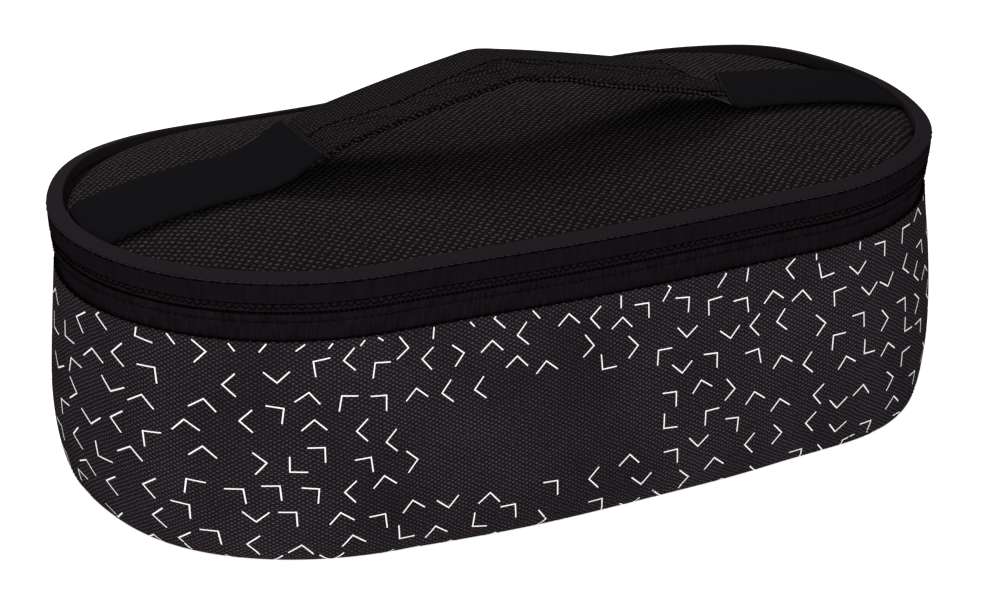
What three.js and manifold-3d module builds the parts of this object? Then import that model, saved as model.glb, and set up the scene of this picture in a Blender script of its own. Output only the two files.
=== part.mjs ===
// Oval soft lunch bag: an insulated body, a hinged lid with a zip round it, and a carry strap.
// Millimetres, +Z up. X runs along the bag, -Y is its front, and the origin is the middle of the base.

import * as THREE from 'three';
import { mergeVertices } from 'three/addons/utils/BufferGeometryUtils.js';
import Module from 'manifold-3d';

const wasm = await Module();
wasm.setup();

// Plan: every band round the bag is two half circles joined by straights
const straightHalf = 63.5; // from the middle to the centre of an end arc
const wallRadius = 63.9; // outer face of the printed wall at its top edge
const arcSteps = 20; // facets in each half circle

// Clearances between sewn layers and between moving pieces
const seam = 0.3;
const sliderRun = 0.35;

// Thicknesses
const shellFabric = 0.9;
const tapeThickness = 0.6;
const liningThickness = 0.6;
const bindingThickness = 0.8;
const wallFoamThickness = 4;
const baseFoamThickness = 4;
const lidFoamThickness = 4;

// Body
const bodyTop = 63.5; // top edge of the printed wall
const baseFillet = 3.5;
const wallBulge = 1;
const wallSteps = 6;
const filletSteps = 4;
const rimSkirt = 6; // how far the mouth's binding hangs inside

// Zip
const lowerTapeHeight = 8.8; // from the wall's top edge to the chain's middle
const upperTapeHeight = 6.6; // from the chain's middle to the lid's binding
const chainInset = 0.1; // how far the tapes beside the chain lie inside the wall's top edge
const tapeEdge = 1.15; // from the chain's middle to each tape's edge
const coilHalfWidth = 2.6;
const coilThickness = 1;
const lowerTapeTuck = 5.5; // how far the lower tape runs down behind the wall
const tapeFoldBelow = 3.7; // from the chain's middle to the lower tape's fold
const tapeFoldDrop = 2.3; // height over which the lower tape leans in to the wall
const tapeFoldAbove = 3.5; // from the chain's middle to the upper tape's fold
const upperTapeLean = 0.7; // how far the upper tape leans out on its way up to the binding
const closedEndAngle = 72; // where the chain's sewn-down end starts, in degrees
const hingeHalf = 50; // half the length of the fabric hinge at the back

// Lid binding, which rings the lid
const ringOverhang = 1.2; // how far it stands out past the tapes
const ringWidth = 4.4;
const ringEdgeHeight = 2.1; // its outer edge
const ringSlope = 1.4; // how much higher its ridge is
const ringRidgeInset = 0.8;
const ringRidgeDrop = 0.4;
const ringLip = 0.525;

// Lid panel
const lidEdgeRise = 1.5; // from the binding's underside to the panel's edge
const lidCrown = 7.5;
const crownPower = 2.4;
const lidPanelInset = 0.7; // the lid's foam and lining stop this much inside its fabric
const crownFractions = [1, 0.88, 0.72, 0.52, 0.28, 0];
const innerBindingHeight = 1.4;

// Strap: two plain end patches and a folded woven grip between them
const patchWidth = 30;
const patchThickness = 1.2;
const patchLeftEnd = -60;
const patchRightEnd = 65; // at its near corner
const patchRightSkew = 11; // how much farther out its far corner lies
const patchSteps = 12;
const patchPointsAcross = 7;
const liftLeft = -78; // where each patch leaves the lid
const liftRight = 84;
const gripWidth = 28;
const gripThickness = 2.8;
const gripEdge = 1.2; // how wide its rounded edges are
const gripLeft = -56; // the grip tilts between these two planes
const gripRight = 46;
const gripSteps = 17;
const flareLeftSteps = 4;
const flareLeftTuck = 4; // how far each flare reaches below its patch
const flareRightSteps = 10;
const flareRightTuck = 1;
const flareEndThickness = 0.7; // the right flare's
const foldNarrowing = 9; // how far the right flare's upper fold draws in from the near edge
const foldStartShare = 0.25; // and where along the flare that starts
const lowerLayerShare = 0.3; // thickness of the flat layer below the fold, as a share of the flare's
const lowerLayerOverhang = 0.5; // how far it stands out past the grip's near edge
const creaseDepth = 0.5;
const coverThickness = 0.7;
const tuckRamp = 6;

// The strap's upper face at points along x, as heights over the edge of the lid panel
const strapShape = [
  [liftLeft, 8.8],
  [-70, 11.6],
  [-60, 17.6],
  [-50, 20.7],
  [-30, 24.8],
  [-12, 27.8],
  [-3, 28.9],
  [6, 27.6],
  [30, 22.7],
  [50, 18.3],
  [59, 15.8],
  [65, 11.8],
  [70, 10.4],
  [76, 9.8],
  [liftRight, 9],
];

// Slider and pull tab
const parkedAngle = 81; // where the slider rests, in degrees
const chainEndShare = 0.2; // how much of the slider's length the coils reach past its middle
const sliderBite = 0.1; // how far the slider's parts run into each other
const sliderLength = 10;
const sliderNoseHalf = 3.5;
const sliderTailHalf = 3.1;
const sliderPlate = 1.1;
const sliderCorner = 1;
const railWidth = 0.55;
const bridgeHalf = 0.8;
const bridgeLength = 2.6;
const crownWidth = 1.6;
const crownBar = 0.9;
const crownSpan = 7;
const tabLength = 21;
const tabHalfWidth = 2.6;
const tabThickness = 1.2;
const tabPivotRise = 1.75; // from the slider's face to the tab's cross bar
const tabWindow = 4.8;
const tabWindowHalf = 1.5;
const tabSlotStart = 13.5;
const tabSlotEnd = 18;
const tabSlotHalf = 1.1;
const tabSlotCorner = 0.99;
const stopLength = 2.2;
const bottomStopHalf = 1.8; // half its height across the chain

// Sizes that follow from those above
const degree = Math.PI / 180;
const arcStep = 180 / arcSteps;
const chainHeight = bodyTop + lowerTapeHeight;
const chainRadius = wallRadius - chainInset;
const ringBottom = chainHeight + upperTapeHeight;
const ringOuterTop = ringBottom + ringEdgeHeight;
const ringRidge = ringOuterTop + ringSlope;
const ringRadius = chainRadius + ringOverhang;
const ringInner = ringRadius - ringWidth;
const upperTapeTop = chainRadius + upperTapeLean;
const lidEdgeHeight = ringBottom + lidEdgeRise;
const lidRadius = ringInner - seam;
const lidInnerRadius = lidRadius - lidPanelInset;
const tapeInWall = wallRadius - shellFabric - seam;
const foamTopRadius = tapeInWall - tapeThickness - seam;
const foamInner = foamTopRadius - wallFoamThickness;
const liningRadius = foamInner - seam;
const liningInner = liningRadius - liningThickness;
const baseFoamBottom = shellFabric + seam;
const baseFoamTop = baseFoamBottom + baseFoamThickness;
const wallLayerBottom = baseFoamTop + seam;
const rimTop = bodyTop + bindingThickness - seam;
const rimUnderside = rimTop - bindingThickness;
const coilOuter = chainRadius - tapeThickness - seam;
const coilInner = coilOuter - coilThickness;
const sliderFace = chainRadius + sliderRun + sliderPlate;
const sliderAngle = sliderLength / chainRadius / degree;
const sliderSag = sliderLength ** 2 / (4 * chainRadius); // room for the chain's curve and its facets
const coilEndAngle = parkedAngle + sliderAngle * chainEndShare;
const seamAngle = seam / chainRadius / degree;

// Solids from points and triangles

function volumeOf(geometry) {
  const position = geometry.attributes.position;
  const index = geometry.index.array;
  const a = new THREE.Vector3();
  const b = new THREE.Vector3();
  const c = new THREE.Vector3();
  let volume = 0;
  for (let i = 0; i < index.length; i += 3) {
    a.fromBufferAttribute(position, index[i]);
    b.fromBufferAttribute(position, index[i + 1]);
    c.fromBufferAttribute(position, index[i + 2]);
    volume += a.dot(b.cross(c)) / 6;
  }
  return volume;
}

function solid(points, triangles) {
  const loose = new THREE.BufferGeometry();
  loose.setAttribute('position', new THREE.Float32BufferAttribute(points.flat(), 3));
  loose.setIndex(triangles.flat());
  const geometry = mergeVertices(loose, 1e-3);
  const index = Array.from(geometry.index.array);
  const kept = [];
  for (let i = 0; i < index.length; i += 3) {
    const [a, b, c] = index.slice(i, i + 3);
    if (a !== b && b !== c && c !== a) kept.push(a, b, c);
  }
  geometry.setIndex(kept);
  if (volumeOf(geometry) < 0) geometry.setIndex(kept.reverse());
  return geometry;
}

// Joins rings of points in order. An open run is capped with the given flat outlines.
function skin(rings, isLoop, startOutline, endOutline) {
  const count = rings[0].length;
  const triangles = [];
  const bays = isLoop ? rings.length : rings.length - 1;
  for (let i = 0; i < bays; i += 1) {
    const here = i * count;
    const next = ((i + 1) % rings.length) * count;
    for (let j = 0; j < count; j += 1) {
      const k = (j + 1) % count;
      triangles.push([here + j, next + j, next + k], [here + j, next + k, here + k]);
    }
  }
  if (!isLoop) {
    const last = (rings.length - 1) * count;
    for (const [a, b, c] of capTriangles(startOutline)) triangles.push([a, b, c]);
    for (const [a, b, c] of capTriangles(endOutline)) triangles.push([last + c, last + b, last + a]);
  }
  return solid(rings.flat(), triangles);
}

// Triangles over a flat outline, turned so that they close the start of a run
function capTriangles(outline) {
  const contour = outline.map(([u, v]) => new THREE.Vector2(u, v));
  const faces = THREE.ShapeUtils.triangulateShape(contour, []);
  const turns = THREE.ShapeUtils.isClockWise(contour);
  const [a, b, c] = faces[0].map((i) => contour[i]);
  const faceTurns = THREE.ShapeUtils.isClockWise([a, b, c]);
  return faces.map((face) => (turns === faceTurns ? face : [...face].reverse()));
}

// Places round the bag: a centre on the spine and the direction outwards

function arc(centreX, fromDegrees, toDegrees) {
  const steps = Math.max(1, Math.round(Math.abs(toDegrees - fromDegrees) / arcStep));
  return Array.from({ length: steps + 1 }, (_, i) => ({
    centreX,
    angle: (fromDegrees + (toDegrees - fromDegrees) * i / steps) * degree,
  }));
}

function wholeLoop() {
  return [...arc(straightHalf, -90, 90), ...arc(-straightHalf, 90, 270)];
}

// From the hinge's left end round the front to an angle on the right-hand arc
function zipRun(endDegrees) {
  const start = { centreX: -hingeHalf - seam, angle: 90 * degree };
  return [start, ...arc(-straightHalf, 90, 270), ...arc(straightHalf, 270, 360 + endDegrees)];
}

// The sewn-down end of the zip, from the right-hand arc to the hinge's right end
function closedEndRun(startDegrees) {
  const end = { centreX: hingeHalf + seam, angle: 90 * degree };
  return [...arc(straightHalf, startDegrees, 90), end];
}

function around(station, [radius, height]) {
  const x = station.centreX + radius * Math.cos(station.angle);
  return [x, radius * Math.sin(station.angle), height];
}

function band(profile) {
  const rings = wholeLoop().map((station) => profile.map((point) => around(station, point)));
  return skin(rings, true);
}

function strip(profile, stations) {
  const rings = stations.map((station) => profile.map((point) => around(station, point)));
  return skin(rings, false, profile, profile);
}

// A panel filling the oval, from its edge in to the spine
function panel(radius, fractions, topAt, bottomAt) {
  const loop = wholeLoop();
  const rings = [];
  for (const fraction of fractions) {
    const r = radius * fraction;
    rings.push(loop.map((station) => around(station, [r, topAt(r)])));
  }
  for (const fraction of [...fractions].reverse()) {
    const r = radius * fraction;
    rings.push(loop.map((station) => around(station, [r, bottomAt(r)])));
  }
  return skin(rings, true);
}

function flatPanel(radius, bottom, top) {
  return panel(radius, [1, 0], () => top, () => bottom);
}

// Body

function wallRadiusAt(height) {
  const share = (height - baseFillet) / (bodyTop - baseFillet);
  return wallRadius + wallBulge * Math.sin(Math.PI * Math.max(0, share));
}

function wallHeights(bottom, top) {
  return Array.from({ length: wallSteps + 1 }, (_, i) => top + (bottom - top) * i / wallSteps);
}

function outerWall() {
  const heights = wallHeights(baseFillet, bodyTop);
  const outside = heights.map((z) => [wallRadiusAt(z), z]);
  const inside = heights.map((z) => [wallRadiusAt(z) - shellFabric, z]);
  const centre = wallRadius - baseFillet;
  for (let i = 1; i <= filletSteps; i += 1) {
    const turn = 90 * degree * i / filletSteps;
    const inner = baseFillet - shellFabric;
    outside.push([centre + baseFillet * Math.cos(turn), baseFillet * (1 - Math.sin(turn))]);
    inside.push([centre + inner * Math.cos(turn), baseFillet - inner * Math.sin(turn)]);
  }
  return band([...outside, ...inside.reverse()]);
}

function wallFoam() {
  const stepHeight = bodyTop - lowerTapeTuck - seam;
  const outside = wallHeights(wallLayerBottom, stepHeight)
    .map((z) => [wallRadiusAt(z) - shellFabric - seam, z]);
  const top = rimUnderside - seam;
  return band([
    [foamInner, top],
    [foamTopRadius, top],
    [foamTopRadius, stepHeight],
    ...outside,
    [foamInner, wallLayerBottom],
  ]);
}

function wallLining() {
  const bottom = baseFoamTop + seam + liningThickness + seam;
  const top = rimUnderside - seam;
  return band([[liningInner, bottom], [liningRadius, bottom], [liningRadius, top], [liningInner, top]]);
}

function rimBinding() {
  const skirt = liningInner - seam;
  const skirtBottom = rimTop - rimSkirt;
  return band([
    [foamTopRadius, rimUnderside],
    [foamTopRadius, rimTop],
    [skirt - liningThickness, rimTop],
    [skirt - liningThickness, skirtBottom],
    [skirt, skirtBottom],
    [skirt, rimUnderside],
  ]);
}

// Zip tapes, coils and stops

// The lower tape stands behind the wall, leans out over its edge and rises to the chain
function lowerTapeFace(bottom) {
  return [
    [tapeInWall, bottom],
    [tapeInWall, chainHeight - tapeFoldBelow - tapeFoldDrop],
    [chainRadius, chainHeight - tapeFoldBelow],
    [chainRadius, chainHeight - tapeEdge],
  ];
}

function upperTapeFace(bottom) {
  return [
    [chainRadius, bottom],
    [chainRadius, chainHeight + tapeFoldAbove],
    [upperTapeTop, ringBottom - seam],
  ];
}

function thicken(face, thickness) {
  const back = face.map(([radius, height]) => [radius - thickness, height]);
  return [...face, ...back.reverse()];
}

function coilProfile(side) {
  const near = chainHeight + side * seam / 2;
  const far = chainHeight + side * coilHalfWidth;
  return [[coilInner, near], [coilOuter, near], [coilOuter, far], [coilInner, far]];
}

function stopBlock(bottom, top, stations) {
  return strip([[coilInner, bottom], [coilOuter, bottom], [coilOuter, top], [coilInner, top]], stations);
}

function topStop(side) {
  const start = coilEndAngle + seamAngle;
  const end = start + stopLength / chainRadius / degree;
  const near = chainHeight + side * tapeEdge;
  const far = chainHeight + side * coilHalfWidth;
  return stopBlock(Math.min(near, far), Math.max(near, far), arc(straightHalf, start, end));
}

function bottomStop() {
  const start = { centreX: -hingeHalf - seam, angle: 90 * degree };
  const end = { centreX: -hingeHalf - seam - stopLength, angle: 90 * degree };
  return stopBlock(chainHeight - bottomStopHalf, chainHeight + bottomStopHalf, [start, end]);
}

function coilRun(endDegrees) {
  const run = zipRun(endDegrees);
  run[0] = { centreX: -hingeHalf - stopLength - 2 * seam, angle: 90 * degree };
  return run;
}

function hingePanel() {
  const face = [[tapeInWall + seam, bodyTop + seam], ...upperTapeFace(chainHeight - tapeFoldBelow)];
  const ends = [{ centreX: hingeHalf, angle: 90 * degree }, { centreX: -hingeHalf, angle: 90 * degree }];
  return strip(thicken(face, shellFabric), ends);
}

// Lid

function crownAt(radius) {
  return lidEdgeHeight + lidCrown * (1 - (radius / lidRadius) ** crownPower);
}

function lidSurface(x, y) {
  const along = Math.max(0, Math.abs(x) - straightHalf);
  return crownAt(Math.min(lidRadius, Math.hypot(along, y)));
}

function lidLayer(radius, depthTop, thickness) {
  const topAt = (r) => crownAt(r) - depthTop;
  return panel(radius, crownFractions, topAt, (r) => topAt(r) - thickness);
}

function lidEdgeBinding() {
  return band([
    [ringInner, ringBottom],
    [ringRadius - ringLip, ringBottom],
    [ringRadius, ringBottom + ringLip],
    [ringRadius, ringOuterTop],
    [ringInner + ringRidgeInset, ringRidge],
    [ringInner, ringRidge - ringRidgeDrop],
  ]);
}

function lidInnerBinding() {
  const top = ringBottom - seam;
  const bottom = top - innerBindingHeight;
  const inner = lidInnerRadius + seam;
  const outer = chainRadius - shellFabric;
  return band([[inner, bottom], [outer, bottom], [outer, top], [inner, top]]);
}

// Strap

const strapPoints = strapShape.map(([x, rise]) => new THREE.Vector2(x, lidEdgeHeight + rise));
const strapCurve = new THREE.SplineCurve(strapPoints);
const strapSamples = strapCurve.getPoints(240);

// Height of the strap's upper face at x, where it is clear of the lid
function strapTop(x) {
  if (x <= strapSamples[0].x || x >= strapSamples[strapSamples.length - 1].x) return -Infinity;
  const i = strapSamples.findIndex((sample) => sample.x > x);
  const before = strapSamples[i - 1];
  const after = strapSamples[i];
  return before.y + (after.y - before.y) * (x - before.x) / (after.x - before.x);
}

function patchUnderside(x, y) {
  return Math.max(lidSurface(x, y) + seam, strapTop(x) - patchThickness);
}

// Where the patch on one side ends, at a place across it
function patchInnerEnd(side, y) {
  return side < 0 ? patchLeftEnd : patchRightEnd + patchRightSkew * (y / patchWidth + 0.5);
}

// A patch starts under the lid binding, lies on the lid and lifts off towards the grip
function strapPatch(side) {
  const across = Array.from({ length: patchPointsAcross }, (_, i) => {
    return patchWidth * (i / (patchPointsAcross - 1) - 0.5);
  });
  const rings = [];
  for (let i = 0; i <= patchSteps; i += 1) {
    const place = across.map((y) => {
      const outerEnd = side * (straightHalf + Math.sqrt(lidRadius ** 2 - y ** 2));
      return [outerEnd + (patchInnerEnd(side, y) - outerEnd) * i / patchSteps, y];
    });
    const lower = place.map(([x, y]) => [x, y, patchUnderside(x, y)]);
    const upper = place.map(([x, y]) => [x, y, patchUnderside(x, y) + patchThickness]);
    rings.push([...lower, ...upper.reverse()]);
  }
  const outline = (ring) => ring.map(([, y, z]) => [y, z]);
  return skin(rings, false, outline(rings[0]), outline(rings[patchSteps]));
}

// The woven part drops below the patches at its two ends
function gripTop(x, y) {
  const left = (patchInnerEnd(-1, y) + tuckRamp - x) / tuckRamp;
  const right = (x - patchInnerEnd(1, y) + tuckRamp) / tuckRamp;
  return strapTop(x) - (patchThickness + seam) * Math.max(0, Math.min(1, Math.max(left, right)));
}

// Section of the folded grip: rounded edges and a crease along its upper face
function gripSection(x, inset) {
  const half = gripWidth / 2 - inset;
  const top = gripTop(x, 0) - inset;
  const bottom = gripTop(x, 0) - gripThickness + inset;
  const middle = (top + bottom) / 2;
  const edge = Math.min(gripEdge, top - bottom);
  const outline = [
    [-half, middle],
    [-half + edge, bottom],
    [0, bottom],
    [half - edge, bottom],
    [half, middle],
    [half - edge, top],
    [edge, top],
    [0, top - creaseDepth],
    [-edge, top],
    [-half + edge, top],
  ];
  return outline.map(([y, z]) => [x, y, z]);
}

function gripRings(fromX, toX, steps, inset) {
  return Array.from({ length: steps + 1 }, (_, i) => gripSection(fromX + (toX - fromX) * i / steps, inset));
}

// The right flare's section, at a share of its length. Its upper fold draws in over the flat lower
// layer, and its end is as skewed as the patch that holds it down.
function rightFlareSection(share) {
  const half = gripWidth / 2;
  const start = gripRight + seam;
  const drawn = Math.max(0, (share - foldStartShare) / (1 - foldStartShare));
  const foldEdge = -half + foldNarrowing * drawn;
  const thickness = gripThickness + (flareEndThickness - gripThickness) * share;
  const outline = [
    [-half - lowerLayerOverhang, 0],
    [0, 0],
    [half - gripEdge, 0],
    [half, 0.5],
    [half - gripEdge, 1],
    [gripEdge, 1],
    [0, 1 - creaseDepth / gripThickness],
    [foldEdge + gripEdge, 1],
    [foldEdge, lowerLayerShare],
    [-half - lowerLayerOverhang, lowerLayerShare],
  ];
  return outline.map(([y, level]) => {
    const x = start + (patchInnerEnd(1, y) + flareRightTuck - start) * share;
    return [x, y, gripTop(x, y) - thickness * (1 - level)];
  });
}

function loftAlongX(rings) {
  const outline = (ring) => ring.map(([, y, z]) => [y, z]);
  return skin(rings, false, outline(rings[0]), outline(rings[rings.length - 1]));
}

// The cover is a sleeve: its outer rings go one way, its inner rings come back
function gripCover() {
  const outside = gripRings(gripLeft, gripRight, gripSteps, 0);
  const inside = gripRings(gripLeft, gripRight, gripSteps, coverThickness);
  return skin([...outside, ...inside.reverse()], true);
}

function gripCore() {
  const end = gripRings(gripLeft + seam, gripRight - seam, gripSteps, coverThickness + seam);
  return loftAlongX(end);
}

// Slider and pull tab. Local x runs along the chain, y is up and z is the radius.

function toManifold(geometry) {
  geometry.deleteAttribute('normal');
  geometry.deleteAttribute('uv');
  const merged = mergeVertices(geometry, 1e-4);
  const mesh = new wasm.Mesh({
    numProp: 3,
    vertProperties: new Float32Array(merged.attributes.position.array),
    triVerts: new Uint32Array(merged.index.array),
  });
  return new wasm.Manifold(mesh);
}

function fromManifold(manifold) {
  const mesh = manifold.getMesh();
  const geometry = new THREE.BufferGeometry();
  geometry.setAttribute('position', new THREE.BufferAttribute(new Float32Array(mesh.vertProperties), 3));
  geometry.setIndex(Array.from(mesh.triVerts));
  return geometry;
}

function roundedOutline(corners, radius) {
  const shape = new THREE.Shape();
  corners.forEach(([x, y], i) => {
    const [px, py] = corners[(i + corners.length - 1) % corners.length];
    const [nx, ny] = corners[(i + 1) % corners.length];
    const before = radius / Math.hypot(px - x, py - y);
    const after = radius / Math.hypot(nx - x, ny - y);
    const startX = x + (px - x) * before;
    const startY = y + (py - y) * before;
    if (i === 0) shape.moveTo(startX, startY);
    else shape.lineTo(startX, startY);
    shape.quadraticCurveTo(x, y, x + (nx - x) * after, y + (ny - y) * after);
  });
  shape.closePath();
  return shape;
}

function extrude(shape, from, to) {
  const settings = { depth: to - from, bevelEnabled: false, curveSegments: 3 };
  return new THREE.ExtrudeGeometry(shape, settings).translate(0, 0, from);
}

function plateOutline() {
  const nose = sliderLength / 2;
  return roundedOutline([
    [-nose, -sliderTailHalf],
    [nose, -sliderNoseHalf],
    [nose, sliderNoseHalf],
    [-nose, sliderTailHalf],
  ], sliderCorner);
}

// Two plates joined by the bridge at the nose, with rails beside the coils and a bail for the tab
function sliderBody() {
  const nose = sliderLength / 2;
  const outerPlate = chainRadius + sliderRun;
  const innerPlate = coilInner - sliderRun - sliderSag;
  const railTop = chainRadius - tapeThickness - sliderRun - sliderSag;
  let body = toManifold(extrude(plateOutline(), outerPlate, sliderFace));
  body = body.add(toManifold(extrude(plateOutline(), innerPlate - sliderPlate, innerPlate)));
  const bridge = roundedOutline([
    [nose - bridgeLength, 0],
    [nose - sliderBite, -bridgeHalf],
    [nose - sliderBite, bridgeHalf],
  ], sliderBite);
  body = body.add(toManifold(extrude(bridge, innerPlate - sliderBite, outerPlate + sliderBite)));
  for (const side of [-1, 1]) {
    const rail = roundedOutline([
      [sliderCorner - nose, side * sliderTailHalf],
      [sliderCorner - nose, side * (sliderTailHalf - railWidth + sliderBite)],
      [nose - sliderCorner, side * (sliderNoseHalf - railWidth)],
      [nose - sliderCorner, side * sliderNoseHalf],
    ], sliderBite);
    body = body.add(toManifold(extrude(rail, innerPlate - sliderBite, railTop)));
  }
  const clearRise = tabPivotRise + tabThickness / 2 + sliderRun;
  const bail = roundedOutline([
    [-crownSpan / 2, -sliderBite],
    [crownSpan / 2, -sliderBite],
    [crownSpan / 2, clearRise + crownBar],
    [-crownSpan / 2, clearRise + crownBar],
  ], crownBar);
  bail.holes.push(roundedOutline([
    [-crownSpan / 2 + crownBar, 0],
    [crownSpan / 2 - crownBar, 0],
    [crownSpan / 2 - crownBar, clearRise],
    [-crownSpan / 2 + crownBar, clearRise],
  ], crownBar / 2));
  const bailSolid = extrude(bail, -crownWidth / 2, crownWidth / 2).rotateX(90 * degree);
  body = body.add(toManifold(bailSolid.translate(0, 0, sliderFace)));
  return fromManifold(body);
}

function pullTab() {
  const bar = tabThickness / 2;
  const tab = roundedOutline([
    [-bar, -tabHalfWidth],
    [tabLength, -tabHalfWidth],
    [tabLength, tabHalfWidth],
    [-bar, tabHalfWidth],
  ], tabHalfWidth / 2);
  tab.holes.push(roundedOutline([
    [bar, -tabWindowHalf],
    [tabWindow, -tabWindowHalf],
    [tabWindow, tabWindowHalf],
    [bar, tabWindowHalf],
  ], bar / 2));
  tab.holes.push(roundedOutline([
    [tabSlotStart, -tabSlotHalf],
    [tabSlotEnd, -tabSlotHalf],
    [tabSlotEnd, tabSlotHalf],
    [tabSlotStart, tabSlotHalf],
  ], tabSlotCorner));
  return fromManifold(toManifold(extrude(tab, -bar, bar)));
}

// Turns a mesh so that its x runs along the chain at an angle and its z points outwards
function turnToChain(mesh, degrees) {
  const angle = degrees * degree;
  const along = new THREE.Vector3(-Math.sin(angle), Math.cos(angle), 0);
  const outwards = new THREE.Vector3(Math.cos(angle), Math.sin(angle), 0);
  const basis = new THREE.Matrix4().makeBasis(along, new THREE.Vector3(0, 0, 1), outwards);
  mesh.quaternion.setFromRotationMatrix(basis);
}

// Materials

function material(color, roughness, metalness = 0) {
  return new THREE.MeshStandardMaterial({ color, roughness, metalness });
}

const wovenFabric = () => material(0x231f21, 0.85);
const printedFabric = () => material(0x262224, 0.8);
const smoothFabric = () => material(0x141114, 0.7);
const bindingFabric = () => material(0x2b2729, 0.65);
const zipTapeFabric = () => material(0x1c191b, 0.8);
const coilPlastic = () => material(0x151315, 0.45);
const foam = () => material(0xd8d8d4, 0.9);
const liner = () => material(0xb9bcc0, 0.35, 0.6);
const paintedMetal = () => material(0x17171a, 0.4, 0.8);

// The bag, grouped by the bodies that move

const bag = new THREE.Group();

function addPiece(parent, name, geometry, surface) {
  const mesh = new THREE.Mesh(geometry, surface);
  mesh.name = name;
  parent.add(mesh);
  return mesh;
}

function buildBody() {
  const body = new THREE.Group();
  const baseRadius = wallRadius - baseFillet - seam;
  const insideFillet = baseFillet - shellFabric;
  const foamCorner = Math.sqrt(Math.max(0, insideFillet ** 2 - (baseFillet - baseFoamBottom) ** 2));
  const baseFoamRadius = wallRadius - baseFillet + foamCorner - seam;
  const lowerTape = thicken(lowerTapeFace(bodyTop - lowerTapeTuck), tapeThickness);
  const lowerEnd = closedEndAngle - seamAngle;
  addPiece(body, 'outer_wall', outerWall(), printedFabric());
  addPiece(body, 'outer_base', flatPanel(baseRadius, 0, shellFabric), smoothFabric());
  addPiece(body, 'base_foam', flatPanel(baseFoamRadius, baseFoamBottom, baseFoamTop), foam());
  addPiece(body, 'wall_foam', wallFoam(), foam());
  addPiece(body, 'wall_lining', wallLining(), liner());
  const liningBottom = baseFoamTop + seam;
  const baseLining = flatPanel(liningRadius, liningBottom, liningBottom + liningThickness);
  addPiece(body, 'base_lining', baseLining, liner());
  addPiece(body, 'rim_binding', rimBinding(), bindingFabric());
  addPiece(body, 'lower_zip_tape', strip(lowerTape, zipRun(lowerEnd)), zipTapeFabric());
  addPiece(body, 'lower_zip_coil', strip(coilProfile(-1), coilRun(lowerEnd)), coilPlastic());
  addPiece(body, 'bottom_stop', bottomStop(), coilPlastic());
  return body;
}

function buildLid() {
  const lid = new THREE.Group();
  const foamDepth = shellFabric + seam;
  const liningDepth = foamDepth + lidFoamThickness + seam;
  const closedEnd = closedEndRun(closedEndAngle);
  const upperTape = thicken(upperTapeFace(chainHeight + tapeEdge), tapeThickness);
  const endTape = thicken(lowerTapeFace(bodyTop + seam), tapeThickness);
  const upperRun = [...zipRun(closedEndAngle), ...closedEnd.slice(1)];
  addPiece(lid, 'lid_top_fabric', lidLayer(lidRadius, 0, shellFabric), wovenFabric());
  addPiece(lid, 'lid_foam', lidLayer(lidInnerRadius, foamDepth, lidFoamThickness), foam());
  addPiece(lid, 'lid_lining', lidLayer(lidInnerRadius, liningDepth, liningThickness), liner());
  addPiece(lid, 'lid_edge_binding', lidEdgeBinding(), bindingFabric());
  addPiece(lid, 'lid_inner_binding', lidInnerBinding(), bindingFabric());
  addPiece(lid, 'hinge_panel', hingePanel(), smoothFabric());
  addPiece(lid, 'upper_zip_tape', strip(upperTape, upperRun), zipTapeFabric());
  addPiece(lid, 'upper_zip_coil', strip(coilProfile(1), coilRun(coilEndAngle)), coilPlastic());
  addPiece(lid, 'end_zip_tape', strip(endTape, closedEnd), zipTapeFabric());
  const endCoil = strip(coilProfile(-1), arc(straightHalf, closedEndAngle, coilEndAngle));
  addPiece(lid, 'end_zip_coil', endCoil, coilPlastic());
  addPiece(lid, 'top_stop_upper', topStop(1), coilPlastic());
  addPiece(lid, 'top_stop_lower', topStop(-1), coilPlastic());
  addPiece(lid, 'strap_patch_left', strapPatch(-1), smoothFabric());
  addPiece(lid, 'strap_patch_right', strapPatch(1), smoothFabric());
  const leftFlare = gripRings(patchLeftEnd - flareLeftTuck, gripLeft - seam, flareLeftSteps, 0);
  const flareShares = Array.from({ length: flareRightSteps + 1 }, (_, i) => i / flareRightSteps);
  const rightFlare = flareShares.map(rightFlareSection);
  addPiece(lid, 'strap_flare_left', loftAlongX(leftFlare), wovenFabric());
  addPiece(lid, 'strap_flare_right', loftAlongX(rightFlare), wovenFabric());
  return lid;
}

function buildHandle() {
  const handle = new THREE.Group();
  addPiece(handle, 'grip_cover', gripCover(), wovenFabric());
  addPiece(handle, 'grip_core', gripCore(), foam());
  return handle;
}

function buildSlider() {
  const slider = new THREE.Group();
  const body = addPiece(slider, 'slider_body', sliderBody(), paintedMetal());
  body.position.set(straightHalf, 0, chainHeight);
  turnToChain(body, parkedAngle);
  const tab = addPiece(slider, 'pull_tab', pullTab(), paintedMetal());
  const pivotRadius = sliderFace + tabPivotRise;
  const angle = parkedAngle * degree;
  tab.position.set(straightHalf + pivotRadius * Math.cos(angle), pivotRadius * Math.sin(angle), chainHeight);
  turnToChain(tab, 90);
  return slider;
}

bag.add(buildBody(), buildLid(), buildHandle(), buildSlider());

export default bag;
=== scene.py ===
# Dresses the lunch bag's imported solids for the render: cloth, zip, stitches, print, light and camera.
# Sizes are in millimetres and turn into metres when a mesh is made.
# X runs along the bag, -Y is its front and +Z is up.

import math
import random

import bmesh
import bpy
import numpy as np
from mathutils import Matrix, Vector, noise


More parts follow.
